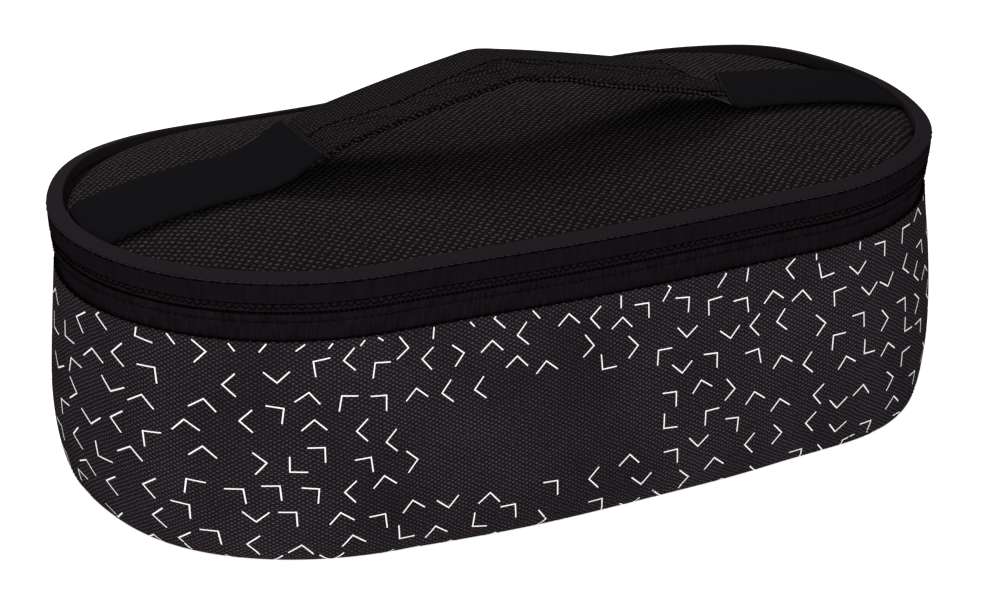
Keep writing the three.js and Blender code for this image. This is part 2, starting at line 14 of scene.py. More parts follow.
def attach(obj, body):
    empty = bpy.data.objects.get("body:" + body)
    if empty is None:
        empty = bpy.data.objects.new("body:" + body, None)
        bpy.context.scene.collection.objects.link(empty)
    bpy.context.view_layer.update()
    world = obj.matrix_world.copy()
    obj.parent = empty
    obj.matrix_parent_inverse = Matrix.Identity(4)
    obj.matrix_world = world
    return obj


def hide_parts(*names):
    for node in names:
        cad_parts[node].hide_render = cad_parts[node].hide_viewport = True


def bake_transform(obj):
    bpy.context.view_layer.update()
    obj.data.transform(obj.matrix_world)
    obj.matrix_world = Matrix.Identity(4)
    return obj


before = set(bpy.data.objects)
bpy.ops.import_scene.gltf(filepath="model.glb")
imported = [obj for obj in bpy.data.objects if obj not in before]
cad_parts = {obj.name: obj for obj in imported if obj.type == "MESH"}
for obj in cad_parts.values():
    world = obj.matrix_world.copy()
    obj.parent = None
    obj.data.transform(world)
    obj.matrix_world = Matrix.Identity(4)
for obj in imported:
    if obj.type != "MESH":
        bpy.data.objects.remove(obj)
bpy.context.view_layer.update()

MM = 0.001
UP = np.array([0.0, 0.0, 1.0])

# Plan of the bag: two half circles joined by straights
STRAIGHT_HALF = 63.5
PATH_RADIUS = 64.0
HALF_CIRCLE = math.pi * PATH_RADIUS
LOOP = 4 * STRAIGHT_HALF + 2 * HALF_CIRCLE
BACK = LOOP / 2
SOFT_BULGES = (  # where the soft outline stands out: place round the bag, spread and distance
    (0.0, 34.0, 2.5),
    (-164.0, 34.0, 1.3),
    (164.0, 34.0, 0.8),
    (BACK, 34.0, 1.0),
)
RING_WAVES = (  # where the ring lies lower or higher: place, spread and rise
    (-207.0, 15.0, 1.0),
    (-258.0, 17.0, -1.1),
    (-300.0, 26.0, -2.2),
    (148.0, 16.0, -1.2),
    (210.0, 14.0, 1.5),
    (269.0, 19.0, -1.8),
)
FOOT_TOP = 30.0
FOOT_WAVES = (  # where the wall's foot draws in or stands out below this height: place, spread, distance
    (-160.0, 22.0, -4.2),
    (-32.0, 26.0, 2.5),
    (70.0, 15.0, -3.1),
)

# Body
WALL_RADIUS = 63.9
WALL_BULGE = 2.0
BODY_TOP = 63.5
BASE_FILLET = 3.5
CLOTH = 0.9
FOOT_SEAM = 5.2  # how far up its cloth the wall's topstitching runs
BASE_FACE = (  # the underside from its edge to its middle: share of the way out, and height
    (1.0, 0.35), (0.985, 0.02), (0.97, 0.0), (0.94, 0.1), (0.85, 0.2),
    (0.7, 0.3), (0.5, 0.35), (0.25, 0.35), (0.0, 0.35),
)
FOAM_BOTTOM = 1.0
FOAM_FLOOR = 4.9
FOAM_TOP = 62.9
FOAM_INNER = 57.8
LINING_RADIUS = 57.3
LINING_FOOT = 6.4
FLOOR_RADIUS = 57.2
FLOOR_TOP = 5.85
FILM = 0.3
RIM_INNER = 56.05

# Zip
CHAIN_Z = 72.3
HINGE_HALF = 50.0
ZIP_END = STRAIGHT_HALF + HALF_CIRCLE + (STRAIGHT_HALF - HINGE_HALF) - 0.3
TEETH_PITCH = 1.4
COIL_RADIUS = 62.95  # from the spine to the middle of the coil's turns
COIL_DEPTH = 0.42  # half of what a turn measures through the tape
COIL_LEAN = 0.35
COIL_MIDDLE = 0.85  # how far the middle of the turns lies from the chain's middle
COIL_REACH = 1.25
COIL_WIRE = 0.24
TAPE_STEP = 1.2
SLIDER_SIDE = 60.0  # from here on the zip's lower half is a stretch of its own near the hinge
SLIDER_PLACE = 254.5  # where the slider is parked when the bag is shut
LOWER_BEND = ("body", "lid", (0, 58.0, CHAIN_Z), (0, 61.2, CHAIN_Z))
HINGE_BEND = ("body", "lid", (0, WALL_RADIUS, 63.2), (0, WALL_RADIUS, 67.2))

# Lid
RING_BOTTOM = 78.9
RING_FOOT = 76.0  # the lid's edge moves up and down only above this height
RING_TOP = 81.0
RING_RIDGE = 82.4
RING_RADIUS = 65.0
RING_INNER = 60.6
LID_RADIUS = 60.3
LID_EDGE_Z = 80.4
LID_CROWN = 7.5
CROWN_POWER = 2.4
LID_THICKNESS = 4.0
LID_SLACK = 0.9  # how much lower than its end shape the pad is before it swells
SWELL_MOST = 1.6
LID_LINING_RADIUS = 59.4
LID_LINING_DEPTH = 5.6  # from the lid's top down to its lining

# Strap
PATCH_WIDTH = 30.0
PATCH_THICKNESS = 1.2
PATCH_LEFT_END = -60.0
PATCH_RIGHT_END = 65.0
PATCH_SKEW = 11.0
GRIP_WIDTH = 28.0
GRIP_THICKNESS = 2.6
GRIP_MIDDLE = -3.0
GRIP_RIGHT = 46.0
FOLD_NARROWING = 4.0
FOLD_START = 56.0
TUCKS = (14.0, 9.5, 6.0, 1.5)  # how far the far edge lies from the middle as it is tucked in
STRAP_POINTS = (  # x and height along the strap's upper face
    (-78.0, 88.8), (-70.0, 91.0), (-60.0, 96.4), (-50.0, 98.9), (-30.0, 103.5), (-12.0, 107.0),
    (-2.5, 108.4), (6.0, 107.2), (14.0, 105.7), (30.0, 102.3), (50.0, 97.8), (57.0, 95.9),
    (62.0, 93.3), (66.0, 90.6), (70.0, 89.5), (76.0, 89.2), (84.0, 88.6),
)
CREASE = (  # x and y of the grip's gathered crease
    (-60, -52, -34, -16, 7, 22, 50, 66),
    (-1.0, -0.6, -4.2, -0.8, 2.0, 0.2, 1.2, 2.0),
)

# Camera, fitted to the bag's outline in the photo
CAMERA_AZIMUTH = math.radians(-26.35)
CAMERA_ELEVATION = math.radians(22.69)
CAMERA_ROLL = math.radians(0.15)
CAMERA_DISTANCE = 1085.3
CAMERA_TARGET = (3.76, 8.1, 34.04)
SENSOR_WIDTH = 36.0
FOCAL_LENGTH = 3.8061 * SENSOR_WIDTH


# Places round the bag. The distance s runs along the outline from the middle of the front,
# and grows towards +X first.

def spine(s):
    """Centre x and outward direction at the distance s."""
    s = (s + STRAIGHT_HALF) % LOOP - STRAIGHT_HALF
    if s <= STRAIGHT_HALF:
        return s, -math.pi / 2
    s -= STRAIGHT_HALF
    if s <= HALF_CIRCLE:
        return STRAIGHT_HALF, -math.pi / 2 + s / PATH_RADIUS
    s -= HALF_CIRCLE
    if s <= 2 * STRAIGHT_HALF:
        return STRAIGHT_HALF - s, math.pi / 2
    s -= 2 * STRAIGHT_HALF
    return -STRAIGHT_HALF, math.pi / 2 + s / PATH_RADIUS


def bump(gap, spread):
    """1 at no gap, falling softly to 0 on both sides."""
    return math.exp(-0.5 * (gap / spread) ** 2)


def bump_at(s, centre, spread):
    """1 at a place round the bag, falling softly to 0 on both sides of it."""
    return bump((s - centre + LOOP / 2) % LOOP - LOOP / 2, spread)


def inside(s, radius, z):
    """The point at a radius from the spine and a height, at the distance s round the lined inside."""
    x, angle = spine(s)
    return np.array([x + radius * math.cos(angle), radius * math.sin(angle), z])


def around(s, radius, z):
    """The same round the soft outside, which stands out a little in places."""
    for centre, spread, distance in SOFT_BULGES:
        radius += radius / WALL_RADIUS * distance * bump_at(s, centre, spread)
    if z < FOOT_TOP:
        share = radius / WALL_RADIUS * (1 - max(0.0, z) / FOOT_TOP) ** 1.5
        for centre, spread, distance in FOOT_WAVES:
            radius += share * distance * bump_at(s, centre, spread)
    if z > RING_FOOT:
        for centre, spread, rise in RING_WAVES:
            z += rise * bump_at(s, centre, spread) * min(1.0, (z - RING_FOOT) / 3)
    return inside(s, radius, z)


def across_rim(s, radius, z):
    """A point of the rim, which keeps to the lined inside on one side and the soft outside on the other."""
    share = smooth(radius, 57.5, 61.5)
    return inside(s, radius, z) * (1 - share) + around(s, radius, z) * share


def outward(s):
    angle = spine(s)[1]
    return np.array([math.cos(angle), math.sin(angle), 0.0])


def along(s):
    angle = spine(s)[1]
    return np.array([-math.sin(angle), math.cos(angle), 0.0])


def ripple(point, wavelength, seed=0.0):
    """A smooth value from about -1 to 1 that varies from place to place."""
    place = Vector([float(v) / wavelength for v in point]) + Vector((seed, seed * 0.7, -seed))
    return noise.noise(place) * 1.6


def smooth(value, low, high):
    """0 below low, 1 above high, and a soft step between."""
    t = min(1.0, max(0.0, (value - low) / (high - low)))
    return t * t * (3 - 2 * t)


# Meshes and pieces

def turn_outwards(mesh, merge=False):
    """Turns all faces outwards, after merging points that meet if told to."""
    work = bmesh.new()
    work.from_mesh(mesh)
    if merge:
        bmesh.ops.remove_doubles(work, verts=work.verts, dist=1e-6)
        bmesh.ops.dissolve_degenerate(work, edges=work.edges, dist=1e-6)
    bmesh.ops.recalc_face_normals(work, faces=work.faces)
    work.to_mesh(mesh)
    work.free()


def add_object(name, data):
    thing = bpy.data.objects.new(name, data)
    bpy.context.scene.collection.objects.link(thing)
    return thing


def finish_mesh(name, vertices, faces, uvs, material, sharp=35.0, turn=True):
    """Makes an object from points in millimetres, with UVs in metres."""
    mesh = bpy.data.meshes.new(name)
    mesh.from_pydata([tuple(MM * float(c) for c in v) for v in vertices], [], faces)
    layer = mesh.uv_layers.new(name="UVMap")
    layer.data.foreach_set("uv", np.asarray(uvs, dtype=np.float32).ravel())
    if turn:
        turn_outwards(mesh)
    mesh.polygons.foreach_set("use_smooth", [True] * len(mesh.polygons))
    mesh.set_sharp_from_angle(angle=math.radians(sharp))
    mesh.materials.append(material)
    mesh.update()
    return add_object(name, mesh)


def settle(piece, slot, carrier, *covered):
    """Hides the solids a piece stands for and hangs the piece on the body that carries it. The slot is not
    used.
    A carrier of two bodies and two places is not used for a bend: such a piece stays where it is made."""
    if covered:
        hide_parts(*covered)
    if isinstance(carrier, str):
        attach(piece, carrier)
    else:
        first, second, start, end = carrier
        tuple(c * MM for c in start)
        tuple(c * MM for c in end)
        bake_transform(piece)


def quads(rows, columns, loop):
    """The four corners of each face over rings of points, as numbers of ring and point."""
    bays = rows if loop else rows - 1
    return [((i, j), (i + 1, j), (i + 1, j + 1), (i, j + 1)) for i in range(bays) for j in range(columns)]


def skin(name, rings, uv_at, material, loop, sharp=35.0, turn=True):
    """A skin over rings of points, closed at its ends if they don't form a loop. uv_at gives the
    place on the weave in millimetres for the numbers of ring and point."""
    points = np.asarray(rings, dtype=float)
    rows, columns = points.shape[:2]
    corners = quads(rows, columns, loop)
    if not loop:
        corners.append([(0, j) for j in range(columns)])
        corners.append([(rows - 1, j) for j in reversed(range(columns))])
    faces = [tuple(i % rows * columns + j % columns for i, j in face) for face in corners]
    uvs = [[c * MM for c in uv_at(i, j)] for face in corners for i, j in face]
    return finish_mesh(name, points.reshape(-1, 3), faces, uvs, material, sharp, turn)


def grid(name, rings, us, vs, material, loop=False, sharp=35.0):
    """A skin whose weave runs along and round it by the millimetres in us and vs."""
    return skin(name, rings, lambda i, j: (us[i], vs[j]), material, loop, sharp)


def grid_over(name, rings, material):
    """A skin over a loop of rings, with a weave that lies flat over x and y."""
    at = lambda i, j: rings[i % len(rings)][j % len(rings[0])][:2]
    piece = skin(name, rings, at, material, True, turn=False)
    turn_outwards(piece.data, merge=True)
    return piece


def slab(name, material, step, count, one_side, other_side):
    """A flat piece that fills an outline. Each side's function gives its point at the distance s
    round the bag and a share of the way out."""
    shares = list(np.linspace(1, 0, count))
    rings = []
    for s in whole_loop(step):
        there = [one_side(s, share) for share in shares]
        rings.append(there + [other_side(s, share) for share in reversed(shares)])
    return grid_over(name, rings, material)


def lengths(profile, loop=False):
    """Distance along a profile at each of its points."""
    points = [np.asarray(p, dtype=float) for p in profile]
    if loop:
        points.append(points[0])
    total = [0.0]
    for a, b in zip(points, points[1:]):
        total.append(total[-1] + float(np.linalg.norm(b - a)))
    return total


def offset(profile, distance):
    """A profile of (radius, z), listed upwards, moved outwards by a distance."""
    points = np.asarray(profile, dtype=float)
    tangent = np.gradient(points, axis=0)
    tangent /= np.linalg.norm(tangent, axis=1, keepdims=True)
    normal = np.stack([tangent[:, 1], -tangent[:, 0]], axis=1)
    return points + normal * distance


def rounded(profile, radius):
    """A profile with its inner corners rounded."""
    steps = 3
    points = [np.asarray(p, dtype=float) for p in profile]
    result = [points[0]]
    for before, corner, after in zip(points, points[1:], points[2:]):
        a = before - corner
        b = after - corner
        reach = min(radius, np.linalg.norm(a) * 0.45, np.linalg.norm(b) * 0.45)
        start = corner + a / np.linalg.norm(a) * reach
        end = corner + b / np.linalg.norm(b) * reach
        for i in range(steps + 1):
            t = i / steps
            result.append((1 - t) ** 2 * start + 2 * t * (1 - t) * corner + t ** 2 * end)
    result.append(points[-1])
    return result


def resample(profile, spacing):
    """A profile with points at even distances."""
    points = np.asarray(profile, dtype=float)
    total = np.array(lengths(points))
    count = max(2, int(math.ceil(total[-1] / spacing)) + 1)
    places = np.linspace(0, total[-1], count)
    return np.stack([np.interp(places, total, points[:, k]) for k in range(points.shape[1])], axis=1)


def cloth_outline(profile, corner, spacing, thickness):
    """The closed outline of a cloth whose outer face follows a profile with rounded corners."""
    face = resample(rounded(profile, corner), spacing)
    return np.vstack([face, offset(face, -thickness)[::-1]])


def stations(start, end, step):
    count = max(2, int(round((end - start) / step)) + 1)
    return np.linspace(start, end, count)


def sweep(name, outline, places, material, shape=None, loop=False, place=around):
    """Sweeps a closed outline of (radius, z) round the bag. shape moves each point outwards."""
    rows = []
    for s in places:
        row = []
        for radius, z in outline:
            moved = radius + (shape(s, radius, z) if shape else 0.0)
            row.append(place(s, moved, z))
        rows.append(row)
    us = list(places)
    if loop:
        us.append(places[0] + LOOP)
    return grid(name, rows, us, lengths(outline, loop=True), material, loop)


def whole_loop(step):
    """Places all round, starting at the back, where a weave's join is out of sight."""
    count = int(round(LOOP / step))
    return BACK + np.arange(count) * (LOOP / count)


def tube(name, path, sides, radius, material, up):
    """A round tube along points, closed at its ends. up gives a way across it at each point."""
    path = np.asarray(path, dtype=float)
    tangent = np.gradient(path, axis=0)
    tangent /= np.linalg.norm(tangent, axis=1, keepdims=True)
    turns = [2 * math.pi * k / sides for k in range(sides)]
    rows = []
    for centre, run, lift in zip(path, tangent, up):
        side = np.cross(run, lift)
        side /= np.linalg.norm(side)
        lift = np.cross(side, run)
        rows.append([centre + side * radius * math.cos(a) + lift * radius * math.sin(a) for a in turns])
    vs = [2 * math.pi * radius * k / sides for k in range(sides + 1)]
    return grid(name, rows, lengths(path), vs, material, sharp=60)


def sew(name, slot, carrier, where, start, end, pitch, stitch, radius, material):
    """A row of thread stitches. where(s) gives a point on the cloth and the way out of it."""
    rings = 5
    sides = 6
    turns = [2 * math.pi * k / sides for k in range(sides)]
    vertices = []
    faces = []
    uvs = []
    s = start
    while s + stitch <= end:
        base = len(vertices)
        first, out_a = where(s)
        last, out_b = where(s + stitch)
        run = (last - first) / np.linalg.norm(last - first)
        for i in range(rings):
            t = i / (rings - 1)
            arch = math.sin(math.pi * t)
            out = out_a * (1 - t) + out_b * t
            out /= np.linalg.norm(out)
            side = np.cross(run, out)
            centre = first * (1 - t) + last * t + out * radius * (0.9 * arch - 0.55)
            size = radius * (0.35 + 0.65 * arch ** 0.5)
            vertices += [centre + side * size * math.cos(a) + out * size * math.sin(a) for a in turns]
        for corners in quads(rings, sides, False):
            faces.append(tuple(base + i * sides + k % sides for i, k in corners))
            uvs += [(i * MM, k % sides * MM) for i, k in corners]
        faces.append(tuple(base + k for k in range(sides)))
        faces.append(tuple(base + (rings - 1) * sides + k for k in reversed(range(sides))))
        uvs += [(0.0, 0.0)] * (2 * sides)
        s += pitch
    settle(finish_mesh(name, vertices, faces, uvs, material, sharp=70), slot, carrier)


# Materials

PLUM = (1.08, 0.86, 1.03)  # the cast of the shell cloth and bindings
DEEP_PLUM = (1.16, 0.8, 1.08)  # the cast of the zip
COOL = (1.0, 0.9, 1.1)  # the cast of the plain strap ends
WARM = (1.1, 0.92, 0.97)  # the cast of the coarse weave
WALL_PITCHES = (0.98, 0.6)  # width of a thread along and across, in millimetres
FINE_PITCHES = (0.5, 0.5)
# No specular on the cloths: the woven ones carry painted highlights on their thread crowns instead.
CLOTH_SHINE = 0.0


class Nodes:
    """A material's nodes, made by short calls."""

    def __init__(self, name):
        self.material = bpy.data.materials.new(name)
        self.material.use_nodes = True
        self.tree = self.material.node_tree

    def join(self, source, target):
        """Gives an input a constant or another node's output."""
        if isinstance(source, (int, float, tuple)):
            target.default_value = source
        else:
            self.tree.links.new(source, target)

    def new(self, kind, inputs, **settings):
        """Makes a node with its inputs and settings, and gives its outputs."""
        node = self.tree.nodes.new(kind)
        for key, value in settings.items():
            setattr(node, key, value)
        for key, value in inputs.items():
            self.join(value, node.inputs[key])
        return node.outputs

    def math(self, operation, a, b=0.0):
        return self.new("ShaderNodeMath", {0: a, 1: b}, operation=operation)[0]

    def product(self, first, *others):
        for value in others:
            first = self.math("MULTIPLY", first, value)
        return first

    def place(self, source, size_x, size_y=None):
        """Coordinates in steps of a size in millimetres, as a vector and its x and y. source is
        UV or Object."""
        coordinates = self.new("ShaderNodeTexCoord", {})[source]
        scale_x = 1 / (size_x * MM)
        scale = (scale_x, 1 / ((size_y or size_x) * MM), scale_x)
        vector = self.new("ShaderNodeMapping", {"Vector": coordinates, "Scale": scale})[0]
        x, y, _ = self.new("ShaderNodeSeparateXYZ", {0: vector})
        return vector, x, y

    def noise(self, source, size, detail=3.0, roughness=0.5, size_y=None):
        """Noise from 0 to 1 whose lumps are about size millimetres wide."""
        vector, _, _ = self.place(source, size, size_y)
        inputs = {"Vector": vector, "Scale": 1.0, "Detail": detail, "Roughness": roughness}
        return self.new("ShaderNodeTexNoise", inputs)[0]

    def mix(self, factor, a, b):
        return self.new("ShaderNodeMix", {0: factor, 6: a, 7: b}, data_type="RGBA")[2]

    def shade(self, factor, dark, light, cast=PLUM):
        """A nearly neutral colour between two linear brightnesses."""
        return self.mix(factor, tint(dark, cast), tint(light, cast))

    def between(self, value, low, high):
        """Spreads a value from 0..1 to low..high."""
        return self.new("ShaderNodeMapRange", {"Value": value, "To Min": low, "To Max": high})[0]

    def bump(self, height, depth, under=None):
        """A bump of the given depth in millimetres, over another bump if given."""
        inputs = {"Height": height, "Strength": 1.0, "Distance": depth * MM}
        if under is not None:
            inputs["Normal"] = under
        return self.new("ShaderNodeBump", inputs)[0]

    def finish(self, colour, roughness, normal=None, shine=0.5, metallic=0.0):
        """Joins up the shader and gives the material."""
        inputs = self.tree.nodes["Principled BSDF"].inputs
        self.join(colour, inputs["Base Color"])
        self.join(roughness, inputs["Roughness"])
        if normal is not None:
            self.join(normal, inputs["Normal"])
        self.join(shine, inputs["Specular IOR Level"])
        self.join(metallic, inputs["Metallic"])
        return self.material


def tint(level, cast):
    """A nearly neutral colour from its linear brightness."""
    return tuple(level * c for c in cast) + (1.0,)


def weave(nodes, source, pitch_x, pitch_y):
    """Height of a plain weave of wandering threads, and 1 where the thread across is on top."""
    _, x, y = nodes.place(source, pitch_x, pitch_y)
    x = nodes.math("ADD", x, nodes.between(nodes.noise(source, 5.0, detail=1.0), 0.0, 1.1))
    y = nodes.math("ADD", y, nodes.between(nodes.noise(source, 4.0, detail=1.0), 0.0, 1.1))
    across = nodes.math("SINE", nodes.product(nodes.math("FRACT", x), math.pi))
    up = nodes.math("SINE", nodes.product(nodes.math("FRACT", y), math.pi))
    cells = nodes.math("ADD", nodes.math("FLOOR", x), nodes.math("FLOOR", y))
    on_top = nodes.product(nodes.math("FRACT", nodes.product(cells, 0.5)), 2.0)
    long_x = nodes.product(nodes.math("SQRT", across), up)
    long_y = nodes.product(nodes.math("SQRT", up), across)
    difference = nodes.math("SUBTRACT", long_x, long_y)
    return nodes.math("ADD", long_y, nodes.product(difference, on_top)), on_top


def woven_cloth(name, source, pitches, dark, light, depth, dot=0.9, crisp=1.6, cast=PLUM, tone_and_sheen_spread=0.25):
    """Plain woven cloth. dot is how much darker the threads going the other way are, and crisp how
    quickly each thread darkens towards its sides. The lighter thread crowns are painted highlights, and the
    darker sides and lower threads are painted shade, as the cloth has no specular. The last argument sets
    how uneven its brightness is over broad patches: uneven tone, and on the wall also painted sheen."""
    nodes = Nodes(name)
    height, on_top = weave(nodes, source, *pitches)
    # painted highlight on the thread crowns and painted shade at their sides and on the lower threads
    shade = nodes.product(nodes.math("POWER", height, crisp), nodes.between(on_top, 1 - dot, 1.0))
    # broad patches of uneven brightness: uneven tone, and with the wall's wide spread also painted sheen
    wear = nodes.between(nodes.noise(source, 30.0), 1 - tone_and_sheen_spread, 1 + tone_and_sheen_spread)
    fleck = nodes.between(nodes.noise(source, pitches[0] * 1.3, detail=1.0), 0.1, 1.9)
    colour = nodes.shade(nodes.product(shade, wear, fleck), dark, light, cast)
    return nodes.finish(colour, nodes.between(shade, 0.82, 0.6), nodes.bump(height, depth), CLOTH_SHINE)


def ribbed_tape(name, dark, light, rib, depth, cast=PLUM):
    """Narrow tape with fine uneven ribs across it."""
    nodes = Nodes(name)
    ribs = nodes.noise("UV", rib, detail=1.5, size_y=7.0)
    patches = nodes.noise("UV", 9.0)
    colour = nodes.shade(nodes.product(nodes.between(patches, 0.6, 1.4), ribs), dark, light, cast)
    return nodes.finish(colour, nodes.between(patches, 0.65, 0.8), nodes.bump(ribs, depth), CLOTH_SHINE)


def silver_film():
    """Foil laminate with soft crinkles."""
    nodes = Nodes("silver_film")
    big = nodes.noise("UV", 14.0, detail=4.0, roughness=0.6)
    small = nodes.noise("UV", 2.5, detail=2.0)
    colour = nodes.mix(big, tint(0.42, (1, 1, 1)), tint(0.62, (1, 1.01, 1.02)))
    normal = nodes.bump(small, 0.12, nodes.bump(big, 1.2))
    return nodes.finish(colour, nodes.between(small, 0.24, 0.42), normal, metallic=0.75)


def foam():
    nodes = Nodes("foam")
    cells = nodes.noise("Object", 1.2, detail=4.0)
    return nodes.finish(nodes.shade(cells, 0.55, 0.75), 0.9, nodes.bump(cells, 0.3))


def dark_metal():
    """Black-painted zinc with edge wear and fine scratches."""
    nodes = Nodes("dark_metal")
    worn = nodes.noise("Object", 1.6, detail=5.0, roughness=0.65)
    colour = nodes.shade(worn, 0.018, 0.05)
    return nodes.finish(colour, nodes.between(worn, 0.28, 0.5), nodes.bump(worn, 0.02), metallic=0.85)


def nylon(name, dark, light, roughness, cast=DEEP_PLUM):
    """Smooth plastic thread."""
    nodes = Nodes(name)
    strands = nodes.noise("Object", 0.7, detail=2.0)
    gloss = nodes.between(strands, roughness - 0.1, roughness + 0.1)
    colour = nodes.shade(strands, dark, light, cast)
    return nodes.finish(colour, gloss, nodes.bump(strands, 0.03), CLOTH_SHINE)


def white_ink():
    """Screen print that lets a little of the weave show."""
    nodes = Nodes("white_ink")
    height, _ = weave(nodes, "UV", *WALL_PITCHES)
    colour = nodes.mix(height, (0.72, 0.72, 0.73, 1.0), (0.9, 0.9, 0.9, 1.0))
    return nodes.finish(colour, nodes.between(height, 0.65, 0.5), nodes.bump(height, 0.05))


def pale_floor():
    """A pale floor with a glow of its own, so that the bag hardly shades it."""
    nodes = Nodes("pale_floor")
    colour = nodes.mix(nodes.noise("Object", 60.0), (0.28, 0.28, 0.28, 1.0), (0.3, 0.3, 0.3, 1.0))
    inputs = nodes.tree.nodes["Principled BSDF"].inputs
    inputs["Emission Color"].default_value = (1.0, 1.0, 1.0, 1.0)
    inputs["Emission Strength"].default_value = 0.9
    return nodes.finish(colour, 0.9, shine=0.0)


LID_WEAVE = woven_cloth("lid_weave", "Object", (1.4, 1.2), 0.004, 0.038, 0.2, cast=WARM)
GRIP_WEAVE = woven_cloth("grip_weave", "UV", (1.05, 0.72), 0.0035, 0.028, 0.12, cast=WARM)
# the wide spread paints soft sheen patches over the wall as well as uneven tone
WALL_WEAVE = woven_cloth("wall_weave", "UV", WALL_PITCHES, 0.006, 0.053, 0.1, tone_and_sheen_spread=1.0)
PLAIN_CLOTH = woven_cloth("plain_cloth", "UV", FINE_PITCHES, 0.0038, 0.0064, 0.02, 0.2, 1.0, cast=COOL)
# Much lighter than the plain strap cloth: a painted highlight on the strap's under layer where it shows as
# a flap.
HIGHLIT_FLAP_CLOTH = woven_cloth("flap_cloth_painted_highlight", "UV", FINE_PITCHES, 0.026, 0.036, 0.02, 0.2, 1.0)
TAPE = ribbed_tape("zip_tape", 0.0012, 0.0095, 0.7, 0.05, cast=DEEP_PLUM)
# Lighter than the lower tape: painted light that offsets the shade under the gusset band's lip.
LIGHTENED_GROOVE_TAPE = ribbed_tape("upper_zip_tape", 0.003, 0.011, 0.7, 0.05, cast=DEEP_PLUM)
GUSSET = ribbed_tape("gusset_band", 0.003, 0.007, 1.1, 0.02, cast=DEEP_PLUM)
BINDING = ribbed_tape("binding_tape", 0.0092, 0.0118, 0.6, 0.01)
SILVER = silver_film()
FOAM = foam()
METAL = dark_metal()
COIL = nylon("coil_nylon", 0.006, 0.016, 0.5)
THREAD = nylon("thread", 0.004, 0.014, 0.6)
DARK_THREAD = nylon("dark_thread", 0.0004, 0.0016, 0.7)
BEAD_THREAD = nylon("bead_thread", 0.01, 0.036, 0.6, cast=WARM)
HIGHLIGHT_THREAD = nylon("pale_thread_painted_highlight", 0.018, 0.035, 0.6)
# pale thread that paints a highlight line along the ring's edge
HEM = nylon("hem_thread", 0.01, 0.03, 0.6)
INK = white_ink()


# Body

def wall_profile():
    """Outer face of the wall cloth as (radius, z), listed upwards from the base's edge."""
    centre = WALL_RADIUS - BASE_FILLET
    profile = []
    for i in range(9):
        turn = math.pi / 2 * i / 8
        profile.append((centre + BASE_FILLET * math.sin(turn), BASE_FILLET * (1 - math.cos(turn))))
    steps = 26
    for i in range(1, steps + 1):
        share = i / steps
        z = BASE_FILLET + (BODY_TOP - BASE_FILLET) * share
        profile.append((WALL_RADIUS + WALL_BULGE * math.sin(math.pi * share ** 0.65), z))
    return np.array(profile)


WALL_PROFILE = wall_profile()
WALL_LENGTHS = np.array(lengths(WALL_PROFILE))
WALL_LENGTH = WALL_LENGTHS[-1]


def wall_sag(s, height):
    """How far the stuffed wall stands out of its plain shape at a height. It is pressed in a
    little where the slider's pull hangs."""
    soft = smooth(height, 4, 20) * smooth(BODY_TOP - height, 2, 16)
    pressed = 0.9 * bump_at(s, SLIDER_PLACE, 9.0) * smooth(height, 44, 52)
    return 0.45 * soft * ripple(around(s, WALL_RADIUS, height * 0.8), 42.0, 3.1) - pressed


def wall_point(s, v, lift=0.0):
    """A point of the wall cloth, at the distance v up its profile from the base's edge."""
    radius = float(np.interp(v, WALL_LENGTHS, WALL_PROFILE[:, 0]))
    z = float(np.interp(v, WALL_LENGTHS, WALL_PROFILE[:, 1]))
    drop = max(0.0, BASE_FILLET - z) / BASE_FILLET
    slope = math.asin(min(1.0, drop)) if v < BASE_FILLET * math.pi / 2 else 0.0
    radius += wall_sag(s, z) + lift * math.cos(slope)
    return around(s, radius, z - lift * math.sin(slope))


def build_wall():
    top = [(WALL_RADIUS - 0.25, BODY_TOP + 0.25), (WALL_RADIUS - 0.7, BODY_TOP + 0.1)]
    inner = offset(WALL_PROFILE, -CLOTH)
    outline = np.vstack([WALL_PROFILE, top, inner[::-3]])
    shape = lambda s, radius, z: wall_sag(s, z)
    wall = sweep("wall_cloth", outline, whole_loop(1.5), WALL_WEAVE, shape, loop=True)
    settle(wall, "printed_fabric", "body", "outer_wall")


def build_wall_stitches():
    """Topstitching round the foot of the wall."""
    def where(s):
        low = wall_point(s, FOOT_SEAM)
        return low, wall_point(s, FOOT_SEAM, 1.0) - low

    sew("wall_foot_stitches", "printed_fabric", "body", where, -BACK, BACK, 2.4, 1.5, 0.17, HEM)


PRINT_GAP = 7.5  # least distance between two chevrons' middles
PRINT_TRIES = 16000
PRINT_LEG = 4.3
PRINT_CENTRE = 0.36  # how far behind its point a chevron's middle lies, as a share of its leg
PRINT_STROKE = 0.34
PRINT_OPENING = math.radians(93)
PRINT_STRETCH = 0.45  # how much wider the print is at the bag's ends, where its cloth was stretched
BARE_FROM = (-57.0, 17.5)  # the middle of the front has no print
BARE_TO = (16.0, 46.0)
POINTING = [90, 90, 90, 180, 180, 0, 0, 45, 45, 135, 270, 225]  # which way a chevron points, in degrees


def print_stretch(s):
    """How many times wider than on the long sides the print is."""
    return 1 + PRINT_STRETCH * math.cos(spine(s)[1]) ** 2


def chevron_places():
    """Scattered places for the print, no two too near, with the middle of the front left bare."""
    chance = random.Random(41)
    places = []
    for _ in range(PRINT_TRIES):
        s = chance.uniform(-BACK, BACK)
        v = chance.uniform(0.5, WALL_LENGTH + 1.5)
        if BARE_FROM[0] < s < BARE_TO[0] and BARE_FROM[1] < v < BARE_TO[1]:
            continue
        stretch = print_stretch(s)
        for other_s, other_v, _ in places:
            gap = abs(s - other_s)
            if math.hypot(min(gap, LOOP - gap) / stretch, v - other_v) < PRINT_GAP:
                break
        else:
            turn = chance.choice(POINTING) + chance.uniform(-9, 9)
            places.append((s, v, math.radians(turn)))
    return places


